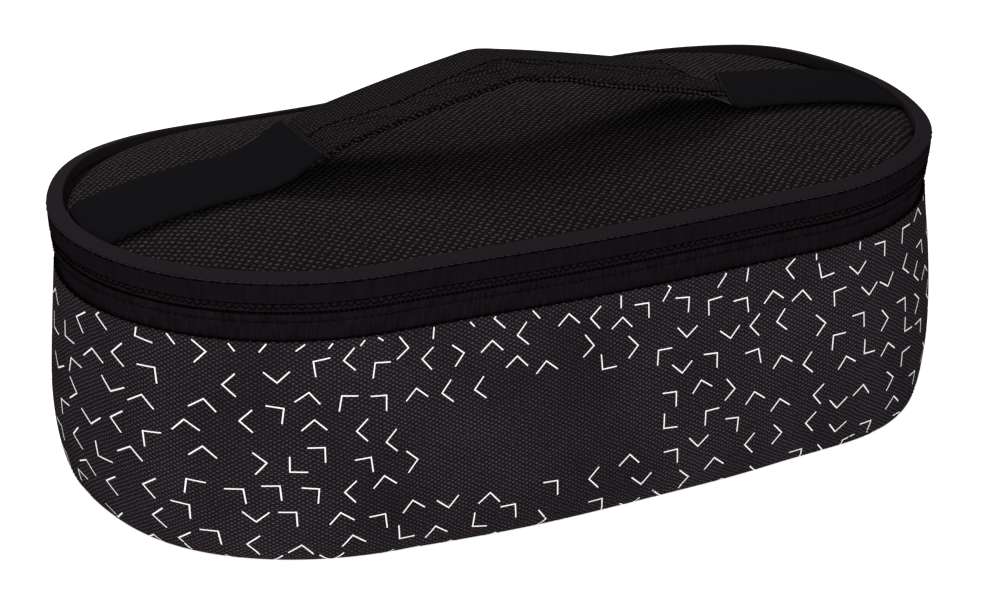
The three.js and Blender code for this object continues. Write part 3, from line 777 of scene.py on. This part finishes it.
def build_print():
    """White chevrons, laid just over the wall cloth. Each is two strokes that meet at its point."""
    lift = 0.08
    steps = 7
    vertices = []
    faces = []
    uvs = []
    for s, v, pointing in chevron_places():
        centre = np.array([s, v])
        back = np.array([math.cos(pointing), math.sin(pointing)]) * PRINT_LEG * PRINT_CENTRE
        widen = np.array([print_stretch(s), 1.0])
        for way in (-1, 1):
            direction = pointing + math.pi + way * PRINT_OPENING / 2
            run = np.array([math.cos(direction), math.sin(direction)])
            side = np.array([-run[1], run[0]]) * way * PRINT_STROKE / 2
            cuts = np.linspace(way * PRINT_STROKE / 2, PRINT_LEG, steps + 1)
            for a, b in zip(cuts, cuts[1:]):
                reaches = (run * a - side, run * b - side, run * b + side, run * a + side)
                corners = [centre + (back + reach) * widen for reach in reaches]
                if max(c[1] for c in corners) > WALL_LENGTH or min(c[1] for c in corners) < 0:
                    continue
                faces.append(tuple(range(len(vertices), len(vertices) + 4)))
                vertices += [wall_point(c[0], c[1], lift) for c in corners[::way]]
                uvs += [(c[0] * MM, c[1] * MM) for c in corners[::way]]
    ink = finish_mesh("chevron_print", vertices, faces, uvs, INK, turn=False)
    settle(ink, "printed_fabric", "body")


def build_base():
    """The bag's underside, a little hollow inside its edge seam."""
    edge = WALL_RADIUS - BASE_FILLET - 0.15
    rings = []
    for s in whole_loop(3.0):
        under = [around(s, edge * share, z) for share, z in BASE_FACE]
        rings.append(under + [around(s, edge * share, CLOTH) for share, _ in BASE_FACE[-2::-1]])
    settle(grid_over("base_cloth", rings, PLAIN_CLOTH), "plain_fabric", "body", "outer_base")


def build_foams():
    """The foam under the base's lining and inside the walls."""
    edge = WALL_RADIUS - BASE_FILLET + 0.2
    under = lambda s, share: around(s, edge * share, FOAM_BOTTOM)
    over = lambda s, share: around(s, edge * share, FOAM_FLOOR)
    settle(slab("base_foam_slab", FOAM, 4.0, 12, under, over), "foam", "body", "base_foam")

    low = FOAM_FLOOR + 0.1
    outline = [(FOAM_INNER, FOAM_TOP), (FOAM_INNER, low)]
    for z in np.linspace(low, 58.0, 12):
        outline.append((np.interp(z, WALL_PROFILE[:, 1], WALL_PROFILE[:, 0]) - CLOTH - 0.15, z))
    outline += [(62.0, 59.5), (62.0, FOAM_TOP)]
    shape = lambda s, radius, z: wall_sag(s, z) * smooth(radius, FOAM_INNER, 61.5)
    wall = sweep("wall_foam_slab", outline, whole_loop(4.0), FOAM, shape, loop=True, place=across_rim)
    settle(wall, "foam", "body", "wall_foam")


def build_linings():
    """The silver film on the inside of the walls and on the floor."""
    face = resample([(LINING_RADIUS, LINING_FOOT), (LINING_RADIUS, FOAM_TOP)], 2.5)
    outline = np.vstack([face, (face - [0.35, 0])[::-1]])
    shape = lambda s, radius, z: -0.15 + 0.12 * ripple(inside(s, radius, z), 8.0, 7.7)
    lining = sweep("wall_lining_film", outline, whole_loop(3.0), SILVER, shape, loop=True, place=inside)
    settle(lining, "lining", "body", "wall_lining")

    def top(s, share):
        point = inside(s, FLOOR_RADIUS * share, FLOOR_TOP)
        point[2] += 0.2 * ripple(point, 10.0, 2.2)
        return point

    under = lambda s, share: inside(s, FLOOR_RADIUS * share, FLOOR_TOP - FILM)
    settle(slab("base_lining_film", SILVER, 3.0, 20, top, under), "lining", "body", "base_lining")


def build_rim():
    """Binding round the mouth, folded over the wall's foam and lining."""
    top = [(62.0, 63.3), (61.9, 63.75), (61.2, 64.0), (57.0, 64.0), (56.3, 63.6)]
    outer = rounded(top + [(RIM_INNER, 62.8), (RIM_INNER, 58.0)], 0.8)
    inner = [(RIM_INNER + 0.5, 58.0), (RIM_INNER + 0.5, 62.6), (57.0, 63.3), (61.4, 63.3)]
    outline = np.vstack([outer, inner])
    rim = sweep("rim_binding_cloth", outline, whole_loop(3.0), BINDING, loop=True, place=across_rim)
    settle(rim, "binding", "body", "rim_binding")

    where = lambda s: (inside(s, RIM_INNER, 59.6), -outward(s))
    sew("rim_stitches", "binding", "body", where, -BACK, BACK, 3.2, 2.3, 0.2, THREAD)


# Zip and gusset

# The zip's lower half is in two stretches. The long one stays on the body, and the one on the slider's
# side, beside the fabric hinge where it is sewn in, is fixed in place without a body.
LOWER_STRETCHES = (("", -ZIP_END, SLIDER_SIDE, "body"), ("_slider_side", SLIDER_SIDE, ZIP_END, LOWER_BEND))


def build_lower_tape():
    profile = [(62.75, 60.5), (62.8, 64.6), (63.2, 66.6), (63.85, 68.9)]
    profile += [(64.0, 69.5), (63.55, 69.8), (64.05, 70.1), (64.0, 71.5)]
    outline = cloth_outline(profile, 0.6, 0.3, 0.6)
    shape = lambda s, radius, z: 0.12 * ripple((s, 0, z), 16.0, 1.3)
    for (suffix, start, end, carrier), node in zip(LOWER_STRETCHES, ("lower_zip_tape", "end_zip_tape")):
        tape = sweep("lower_tape_cloth" + suffix, outline, stations(start, end, TAPE_STEP), TAPE, shape)
        settle(tape, "zip_tape", carrier, node)


def build_upper_tape():
    """The tape above the chain, and the smooth band that hangs over it from the ring."""
    places = stations(-ZIP_END, ZIP_END, TAPE_STEP)
    outline = cloth_outline([(64.0, 72.3), (64.2, 74.3), (63.8, 74.6), (63.6, 76.2)], 0.3, 0.3, 0.5)
    # the upper tape is painted lighter to offset the shade under the band's lip
    tape = sweep("upper_tape_cloth", outline, places, LIGHTENED_GROOVE_TAPE)
    settle(tape, "zip_tape", "lid", "upper_zip_tape")

    profile = [(64.1, 75.2), (64.3, 74.7), (64.6, 74.75), (64.75, 75.2), (64.95, 77.6), (64.95, 80.55)]
    outline = cloth_outline(profile, 0.4, 0.35, 0.45)
    shape = lambda s, radius, z: 0.08 * ripple((s, 0, z), 14.0, 4.3)
    band = sweep("gusset_band_cloth", outline, places, GUSSET, shape)
    settle(band, "plain_fabric", "lid")


def coil_teeth(name, side, start, end, carrier, node):
    """One coil: flat turns whose heads reach just past the chain's middle."""
    per_turn = 12
    path = []
    up = []
    for i in range(int((end - start) / TEETH_PITCH * per_turn) + 1):
        t = i / per_turn
        angle = 2 * math.pi * t
        s = start + TEETH_PITCH * (t + (0.5 if side > 0 else 0.0))
        radius = COIL_RADIUS + COIL_DEPTH * math.cos(angle) - COIL_LEAN * math.sin(angle)
        rise = COIL_MIDDLE + COIL_REACH * math.sin(angle)
        path.append(around(s, radius, CHAIN_Z + side * rise))
        up.append(along(s))
    settle(tube(name, path, 6, COIL_WIRE, COIL, up), "zip_coil", carrier, node)


def build_coils():
    first = -ZIP_END + 3.0
    last = ZIP_END - 22.0
    middle = first + round((SLIDER_SIDE - first) / TEETH_PITCH) * TEETH_PITCH
    coil_teeth("upper_coil_teeth", 1, first, last, "lid", "upper_zip_coil")
    coil_teeth("lower_coil_teeth", -1, first, middle, "body", "lower_zip_coil")
    coil_teeth("lower_coil_teeth_slider_side", -1, middle, last, LOWER_BEND, "end_zip_coil")


def build_tape_stitches():
    """Thread on the zip: dark loops on the upper tape and a fine line on the lower. Near-black rows paint
    shade under the band's lip, along the slit between the tapes and under the ring's lip; the seam above
    the wall's top, in near-black thread, also paints the shade in the crevice there. A pale row paints a
    highlight along the ring's edge."""
    places = stations(-ZIP_END, ZIP_END, 0.25)
    path = []
    for s in places:
        drop = (1.2 + 0.35 * ripple((s, 0, 0), 3.0, 8.8)) * abs(math.sin(math.pi * s / 2.1)) ** 0.6
        path.append(around(s, 64.2, 74.3 - drop))
    loops = tube("upper_tape_loops", path, 5, 0.17, DARK_THREAD, [outward(s) for s in places])
    settle(loops, "zip_tape", "lid")

    on_body = (("", -ZIP_END, ZIP_END, "body"),)
    on_lid = (("", -ZIP_END, ZIP_END, "lid"),)
    rows = (  # name, radius, height, pitch, thickness, thread and stretches
        ("lower_tape_stitches", 63.95, CHAIN_Z - 3.0, 2.0, 0.14, DARK_THREAD, LOWER_STRETCHES),
        # near-black thread along the slit: painted shade in the gap between the tapes
        ("slit_shade_stitches", 64.0, CHAIN_Z - 0.25, 1.4, 0.36, DARK_THREAD, LOWER_STRETCHES),
        # near-black seam thread above the wall's top, which also paints the shade in the crevice there
        ("wall_top_seam_and_shade_stitches", WALL_RADIUS - 0.35, BODY_TOP + 0.4, 3.0, 0.34, DARK_THREAD, on_body),
        # near-black row under the band's lip: painted shadow line
        ("band_lip_shadow_stitches", 64.4, 74.6, 2.4, 0.3, DARK_THREAD, on_lid),
        # near-black row under the ring's lower edge: painted shadow of the ring's lip
        ("ring_lip_shadow_stitches", RING_RADIUS + 0.05, RING_TOP - 0.85, 4.5, 0.22, DARK_THREAD, on_lid),
        # pale row along the ring's edge: painted highlight
        ("ring_edge_highlight_stitches", RING_RADIUS + 0.05, RING_TOP - 0.4, 2.0, 0.12, HIGHLIGHT_THREAD, on_lid),
    )
    for name, radius, z, pitch, size, material, stretches in rows:
        where = lambda s: (around(s, radius, z), outward(s))
        for suffix, start, end, carrier in stretches:
            sew(name + suffix, "zip_tape", carrier, where, start, end, pitch, pitch - 0.2, size, material)


def build_hinge():
    """The fabric hinge at the back. The real one bends at its lower seam; this piece is only fixed in
    place.
    """
    profile = [(62.9, 61.0), (63.2, 63.7), (63.9, 64.6), (64.3, 68.0), (64.4, 74.0), (64.7, 78.7)]
    outline = cloth_outline(profile, 1.0, 0.7, 0.8)
    shape = lambda s, radius, z: 0.15 * ripple((s, 0, z), 15.0, 9.1)
    places = stations(BACK - HINGE_HALF, BACK + HINGE_HALF, 2.0)
    hinge = sweep("hinge_cloth", outline, places, GUSSET, shape)
    settle(hinge, "plain_fabric", HINGE_BEND, "hinge_panel")


# Lid

def crown(radius):
    """Height of the lid's top at a distance from its middle line, with a dip beside the ring."""
    rise = LID_CROWN * (1 - min(1.0, radius / LID_RADIUS) ** CROWN_POWER)
    return LID_EDGE_Z + rise - smooth(radius, LID_RADIUS - 1.6, LID_RADIUS)


def lid_height(x, y):
    """Height of the lid's top, which stands fuller along the right of its back edge."""
    radius = math.hypot(max(0.0, abs(x) - STRAIGHT_HALF), y)
    fuller = 1.1 * smooth(y, 22, 45) * smooth(radius, 40, LID_RADIUS) * smooth(x, -30, 20)
    return crown(radius) + fuller


def build_ring():
    """Binding folded over the lid's edge."""
    outline = rounded([
        (RING_INNER, RING_BOTTOM + 0.2),
        (RING_RADIUS - 0.75, RING_BOTTOM + 0.2),
        (RING_RADIUS - 0.75, RING_TOP - 0.5),
        (RING_RADIUS + 0.1, RING_TOP - 0.35),
        (RING_RADIUS + 0.1, RING_TOP + 0.1),
        (RING_INNER + 0.5, RING_RIDGE),
        (RING_INNER, RING_RIDGE - 0.3),
        (RING_INNER, RING_BOTTOM + 0.2),
    ], 0.22)[:-1]
    ring = sweep("ring_binding", resample(outline, 0.35), whole_loop(2.0), BINDING, loop=True)
    settle(ring, "binding", "lid", "lid_edge_binding")

    def where(s):
        return around(s, RING_RADIUS - 0.1, RING_TOP - 0.05), outward(s) * 0.8 + np.array([0, 0, 0.6])

    sew("ring_stitches", "binding", "lid", where, -BACK, BACK, 2.6, 2.0, 0.16, THREAD)


def swell(pad, held, most):
    """Blows a pad up with Cloth while some of its points are held, and keeps the settled shape."""
    before = [vertex.co.copy() for vertex in pad.data.vertices]
    group = pad.vertex_groups.new(name="sewn_down")
    group.add(held, 1.0, "REPLACE")
    cloth = pad.modifiers.new("cloth", "CLOTH")
    cloth.settings.use_pressure = True
    cloth.settings.uniform_pressure_force = 4
    cloth.settings.effector_weights.gravity = 0
    cloth.settings.vertex_group_mass = "sewn_down"
    for frame_number in range(1, 21):
        bpy.context.scene.frame_set(frame_number)
    settled = pad.evaluated_get(bpy.context.evaluated_depsgraph_get())
    moves = [after.co - start for after, start in zip(settled.data.vertices, before)]
    pad.modifiers.remove(cloth)
    bpy.context.scene.frame_set(1)
    for vertex, start, move in zip(pad.data.vertices, before, moves):
        if move.length > most * MM:
            move = move.normalized() * most * MM
        vertex.co = start + move
    pad.vertex_groups.remove(group)
    pad.data.update()


def lid_point(s, radius, drop):
    """A point a little below the lid's top, at a radius from the spine."""
    point = around(s, radius, RING_FOOT)
    point[2] = lid_height(point[0], point[1]) - drop
    return point


def build_lid():
    """The lid's woven top over its foam, in one padded piece swollen by Cloth."""
    top = lambda s, share: lid_point(s, LID_RADIUS * share, LID_SLACK * smooth(1 - share, 0.0, 0.12))
    bottom = lambda s, share: top(s, share) - [0, 0, LID_THICKNESS - LID_SLACK]
    lid = slab("lid_pad", LID_WEAVE, 4.0, 22, top, bottom)
    held = []
    for vertex in lid.data.vertices:
        x, y, z = (c / MM for c in vertex.co)
        reach = math.hypot(max(0.0, abs(x) - STRAIGHT_HALF), y)
        if z < lid_height(x, y) - LID_THICKNESS / 2 or reach > LID_RADIUS - 1.5:
            held.append(vertex.index)
    swell(lid, held, SWELL_MOST)
    for vertex in lid.data.vertices:
        x, y, z = (c / MM for c in vertex.co)
        vertex.co.z = min(z, lid_height(x, y) + 0.1) * MM
    smoother = lid.modifiers.new("smoother", "SUBSURF")
    smoother.levels = 1
    smoother.render_levels = 1
    settle(lid, "woven_fabric", "lid", "lid_top_fabric", "lid_foam")


def build_lid_lining():
    """The silver film under the lid and the binding round it."""
    top = lambda s, share: lid_point(s, LID_LINING_RADIUS * share, LID_LINING_DEPTH)

    def under(s, share):
        point = top(s, share) - [0, 0, 0.4]
        point[2] -= 0.12 * (1 + ripple(point, 9.0, 5.5))
        return point

    settle(slab("lid_lining_film", SILVER, 3.0, 24, top, under), "lining", "lid", "lid_lining")

    outline = rounded([(60.0, 77.3), (62.8, 77.3), (62.8, 78.5), (60.0, 78.5), (60.0, 77.3)], 0.35)[:-1]
    binding = sweep("lid_inner_binding_cloth", outline, whole_loop(3.0), BINDING, loop=True)
    settle(binding, "binding", "lid", "lid_inner_binding")


# Strap

def strap_top(x):
    """Height of the strap's upper face, on the same smooth curve as the solids."""
    points = STRAP_POINTS
    last = len(points) - 1
    if x <= points[0][0] or x >= points[last][0]:
        return -1e9
    i = max(k for k in range(last) if points[k][0] <= x)
    p0, p1, p2, p3 = (points[min(last, max(0, k))] for k in range(i - 1, i + 3))

    def curve(t, k):
        v0 = (p2[k] - p0[k]) / 2
        v1 = (p3[k] - p1[k]) / 2
        cubic = 2 * p1[k] - 2 * p2[k] + v0 + v1
        square = -3 * p1[k] + 3 * p2[k] - 2 * v0 - v1
        return ((cubic * t + square) * t + v0) * t + p1[k]

    low, high = 0.0, 1.0
    for _ in range(30):
        middle = (low + high) / 2
        if curve(middle, 0) < x:
            low = middle
        else:
            high = middle
    return curve(low, 1)


def strap_bend(start, end):
    """The lid and the tilting handle with two places along x, given as a carrier; nothing bends the strap
    between them.
    """
    return "lid", "handle", (start, 0, strap_top(start)), (end, 0, strap_top(start))


LEFT_BEND = strap_bend(-60.0, -38.0)
RIGHT_BEND = strap_bend(62.0, 34.0)


def patch_underside(x, y):
    return max(lid_height(x, y) + 0.25, strap_top(x) - PATCH_THICKNESS)


def patch_end(side, y):
    """Where the patch on one side ends, at a place across it. The right one is skewed."""
    return PATCH_LEFT_END if side < 0 else PATCH_RIGHT_END + PATCH_SKEW * (y / PATCH_WIDTH + 0.5)


def build_patch(side, name, node):
    """A plain doubled strap end, sewn down under the ring and lifting off towards the grip."""
    half = PATCH_WIDTH / 2
    across = [-half, -half + 0.3] + list(np.linspace(-half + 1.2, half - 1.2, 13)) + [half - 0.3, half]
    rows = []
    for share in np.arange(45) / 44:
        row_low = []
        row_top = []
        for y in across:
            outer_end = side * (STRAIGHT_HALF + math.sqrt((LID_RADIUS + 0.2) ** 2 - y ** 2))
            x = outer_end + (patch_end(side, y) - outer_end) * share
            edge = smooth(half - abs(y), 0.0, 0.6)
            low = patch_underside(x, y)
            row_low.append((x, y, low + 0.35 * (1 - edge)))
            row_top.append((x, y, low + PATCH_THICKNESS * (0.55 + 0.45 * edge)))
        rows.append(row_low + row_top[::-1])
    vs = lengths([(y, 0) for y in across] + [(y, PATCH_THICKNESS) for y in reversed(across)], loop=True)
    us = [side * row[0][0] for row in rows]
    settle(grid(name + "_cloth", rows, us, vs, PLAIN_CLOTH), "patch_fabric", "lid", node)

    def where(y):
        x = patch_end(side, y) + side * 0.45
        return np.array([x, y, patch_underside(x, y) + PATCH_THICKNESS]), UP

    reach = half - 0.8
    sew(name + "_hem_stitches", "patch_fabric", "lid", where, -reach, reach, 1.1, 1.0, 0.17, HEM)


def crease_place(x):
    """How far the grip's gathered crease lies from its middle line."""
    return float(np.interp(x, *CREASE))


def fold_edge(x):
    """The near edge of the folded part, which draws in before the right patch."""
    return -GRIP_WIDTH / 2 + FOLD_NARROWING * smooth(x, FOLD_START, PATCH_RIGHT_END + 3)


def far_edge(x):
    """The far edge of the folded part, which is tucked in before the right patch."""
    places = (FOLD_START - 3, FOLD_START - 1.4, FOLD_START + 2, FOLD_START + 7)
    return float(np.interp(x, places, TUCKS))


def skew(x, end):
    """How far the grip's far side runs ahead of its near side, on its way to the skewed patch."""
    return PATCH_SKEW * smooth(x, GRIP_RIGHT, end)


def grip_top(x, y):
    """The woven part's upper face before its crease. It dips under the left patch, and at the
    right its near side stays up while the strap below goes down to the patch."""
    left = smooth(-x, -PATCH_LEFT_END - 6, -PATCH_LEFT_END)
    held_up = 0.55 * max(0.0, x - FOLD_START) ** 1.3 / 4 * smooth(-y, -3, 6)
    return strap_top(x) + held_up - 1.5 * left


def grip_section(x, skewed):
    """Section of the folded grip: crisp far edge, crease, puckered near half and thin near edge."""
    half = far_edge(x)
    near_edge = fold_edge(x)
    crease = crease_place(x)
    thickness = GRIP_THICKNESS * (1 - 0.72 * smooth(x, GRIP_RIGHT, PATCH_RIGHT_END + 2))
    overlap = 0.2 + 0.3 * smooth(x, -10, 10)
    top_side = []
    under_side = []
    count = 56
    for k in range(count):
        y = half + (near_edge - half) * k / (count - 1)
        place = x + skewed * (y / PATCH_WIDTH + 0.5)
        top = grip_top(place, y)
        low = top - thickness * (1 - 0.4 * smooth(-y, 2, 14))
        z = top - 0.5 * bump(y - crease - 0.3, 0.35)
        near = smooth(crease - y, -0.2, 0.5) * smooth(y - near_edge, 0.0, 2.5)
        pucker = 0.6 * ripple((place + 0.06 * (y + 14) ** 2, 0, 0), 2.4, 2.9)
        z += near * (overlap + smooth(crease - y, 0.5, 3.0) * pucker)
        far = smooth(y - crease, 0.3, 4.0) * smooth(half - y, 0.0, 3.0)
        z += far * 0.12 * ripple((place - y * 0.5, 0, 0), 7.0, 5.9)
        raised = near_lift(place) * smooth(-y, 2, 14)
        z += raised
        low += raised
        edge = min(1.0, half - y, y - near_edge)
        roll = (z - low) / 2 * (1 - math.sqrt(max(0.0, 1 - (1 - edge) ** 2)))
        top_side.append((place, y, z - roll))
        if 0 < k < count - 1:
            under_side.append((place, y, low + roll))
    return top_side + under_side[::-1]


def near_lift(x):
    """How much higher the near edge runs than the strap's middle, just right of the peak."""
    return bump(x - 11, 7)


def edge_thread(name, start, end, carrier, rows):
    """Rows of thread over the near edge. A row is its inset, rise, pitch, stitch, size and thread."""
    for number, (inset, rise, pitch, stitch, size, material) in enumerate(rows):
        def where(x):
            y = fold_edge(x) + inset
            place = x + skew(x, PATCH_RIGHT_END + 1) * (y / PATCH_WIDTH + 0.5)
            wander = 0.2 * ripple((x, number * 9.0, 0), 1.7, 4.4)
            z = grip_top(place, y) + near_lift(place) - 0.45 + rise + wander
            return np.array([place, y, z]), np.array([0.0, -0.7, 0.7])

        first = start + 0.5 * pitch * (number % 2)
        sew(f"{name}_{number}", "woven_fabric", carrier, where, first, end, pitch, stitch, size, material)


def crease_shade_thread(name, start, end, carrier):
    """Near-black thread sunk in the grip's crease: a painted shadow line along the fold."""
    def where(x):
        rise = 0.6 * smooth(x, -10, 10)
        y = crease_place(x) + 0.3 - rise
        return np.array([x, y, grip_top(x, y) - 0.15 + rise]), UP

    sew(name, "woven_fabric", carrier, where, start, end, 2.2, 2.15, 0.25, DARK_THREAD)


def fold_tack():
    """Thread that tacks down the tucked far corner of the fold."""
    def where(x):
        y = far_edge(x) - 0.6
        place = x + skew(x, PATCH_RIGHT_END - 1) * (y / PATCH_WIDTH + 0.5)
        z = grip_top(place, y) + 0.1 * ripple((x, y, 0), 1.0)
        return np.array([place, y, z]), UP

    start = FOLD_START - 3.2
    end = PATCH_RIGHT_END - 4
    sew("fold_tack", "woven_fabric", RIGHT_BEND, where, start, end, 0.9, 0.8, 0.24, DARK_THREAD)


def grip_half(name, start, end, carrier, flare):
    """One half of the folded grip, in a padded piece."""
    xs = stations(start, end, 0.45)
    rows = [grip_section(x, skew(x, PATCH_RIGHT_END - 1.8)) for x in xs]
    vs = lengths([(p[1], p[2]) for p in rows[0]], loop=True)
    grip = grid(name, rows, list(xs), vs, GRIP_WEAVE)
    settle(grip, "woven_fabric", carrier, "grip_cover", "grip_core", flare)


def build_grip():
    grip_half("grip_left_half", PATCH_LEFT_END - 3.8, GRIP_MIDDLE, LEFT_BEND, "strap_flare_left")
    grip_half("grip_right_half", GRIP_MIDDLE, PATCH_RIGHT_END - 1.8, RIGHT_BEND, "strap_flare_right")
    # The near-black rows in both lists are painted shade along the near edge's shaded lower side; the bead
    # thread rows are the edge's own beads.
    rope = (
        (0.0, -0.9, 1.3, 1.0, 0.32, DARK_THREAD),
        (0.1, -0.2, 1.7, 1.2, 0.32, DARK_THREAD),
        (0.8, 0.15, 1.5, 0.8, 0.26, BEAD_THREAD),
        (-0.1, -0.5, 1.7, 0.8, 0.26, BEAD_THREAD),
    )
    beads = (
        (0.1, -1.5, 1.55, 1.3, 0.34, DARK_THREAD),
        (0.0, -0.85, 1.55, 0.95, 0.3, BEAD_THREAD),
        (0.15, -0.4, 1.55, 1.3, 0.2, DARK_THREAD),
        (0.6, 0.1, 1.55, 0.95, 0.28, BEAD_THREAD),
        (1.7, 0.3, 1.55, 0.9, 0.22, BEAD_THREAD),
    )
    edge_thread("near_edge_rope", PATCH_LEFT_END + 0.5, GRIP_MIDDLE + 7, LEFT_BEND, rope)
    edge_thread("near_edge_beads", GRIP_MIDDLE + 7, PATCH_RIGHT_END - 0.8, RIGHT_BEND, beads)
    fold_tack()
    crease_shade_thread("crease_thread_left", PATCH_LEFT_END + 2, GRIP_MIDDLE, LEFT_BEND)
    crease_shade_thread("crease_thread_right", GRIP_MIDDLE, PATCH_RIGHT_END - 3, RIGHT_BEND)


def build_lower_layer():
    """The strap's flat under layer, which shows as a flap where the fold draws in at the right."""
    thickness = 0.35
    start = FOLD_START - 1
    across = list(np.linspace(-GRIP_WIDTH / 2, -3, 8))
    rows = []
    for share in np.linspace(0, 1, 26):
        row = []
        for y in across:
            end = patch_end(1, y) + 0.6
            high = grip_top(start, y) - 1.4
            low = patch_underside(end, y) + 0.5
            row.append((start + (end - start) * share, y, high + (low - high) * share ** 1.2))
        rows.append(row + [(x, y, z - thickness) for x, y, z in reversed(row)])
    vs = lengths([(y, 0) for y in across] + [(y, thickness) for y in reversed(across)], loop=True)
    # the flap's cloth is painted lighter, a painted highlight
    flap = grid("strap_under_layer", rows, [row[0][0] for row in rows], vs, HIGHLIT_FLAP_CLOTH)
    settle(flap, "patch_fabric", RIGHT_BEND)


# Solids that stay as they are, with their finish

def dress_solids():
    for name in ("slider_body", "pull_tab", "top_stop_upper", "top_stop_lower", "bottom_stop"):
        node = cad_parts[name]
        node.data.materials.clear()
        node.data.materials.append(METAL)
        bevel = node.modifiers.new("softened_edges", "BEVEL")
        bevel.width = 0.12 * MM
        bevel.segments = 2
        bevel.limit_method = "ANGLE"
        bevel.angle_limit = math.radians(40)


# Camera, floor and light

def facing(place, direction):
    """The matrix of a camera or lamp at a place that looks the other way from a direction."""
    return Matrix.Translation(place) @ direction.to_track_quat("Z", "Y").to_matrix().to_4x4()


def add_camera():
    level = math.cos(CAMERA_ELEVATION)
    back = Vector((
        math.sin(CAMERA_AZIMUTH) * level,
        -math.cos(CAMERA_AZIMUTH) * level,
        math.sin(CAMERA_ELEVATION),
    ))
    data = bpy.data.cameras.new("camera")
    data.sensor_width = SENSOR_WIDTH
    data.sensor_fit = "HORIZONTAL"
    data.lens = FOCAL_LENGTH
    data.clip_start = 0.01
    camera = add_object("camera", data)
    place = Vector(CAMERA_TARGET) * MM + back * CAMERA_DISTANCE * MM
    camera.matrix_world = facing(place, back) @ Matrix.Rotation(CAMERA_ROLL, 4, "Z")
    bpy.context.scene.camera = camera


def add_area(name, place, target, size, power):
    data = bpy.data.lights.new(name, "AREA")
    data.shape = "DISK"
    data.size = size
    data.energy = power
    add_object(name, data).matrix_world = facing(Vector(place), Vector(place) - Vector(target))


def add_studio():
    reach = 4.0
    height = -0.0002
    mesh = bpy.data.meshes.new("studio_floor")
    corners = ((-reach, -reach), (reach, -reach), (reach, reach), (-reach, reach))
    mesh.from_pydata([(x, y, height) for x, y in corners], [], [(0, 1, 2, 3)])
    mesh.materials.append(pale_floor())
    add_object("studio_floor", mesh)

    world = bpy.data.worlds.new("studio")
    world.use_nodes = True
    background = world.node_tree.nodes["Background"]
    background.inputs["Color"].default_value = (1, 1, 1, 1)
    background.inputs["Strength"].default_value = 0.6
    bpy.context.scene.world = world
    add_area("key_light", (-0.5, -1.1, 0.45), (0, 0, 0.05), 0.7, 9.0)
    add_area("back_light", (-0.05, 1.1, 1.05), (0, 0, 0.08), 0.6, 27.0)
    bpy.context.scene.view_settings.view_transform = "Standard"
    bpy.context.scene.view_settings.look = "None"


add_camera()
build_wall()
build_wall_stitches()
build_print()
build_base()
build_foams()
build_linings()
build_rim()
build_lower_tape()
build_upper_tape()
build_coils()
build_tape_stitches()
build_hinge()
build_ring()
build_lid()
build_lid_lining()
build_patch(-1, "left_patch", "strap_patch_left")
build_patch(1, "right_patch", "strap_patch_right")
build_grip()
build_lower_layer()
dress_solids()
add_studio()
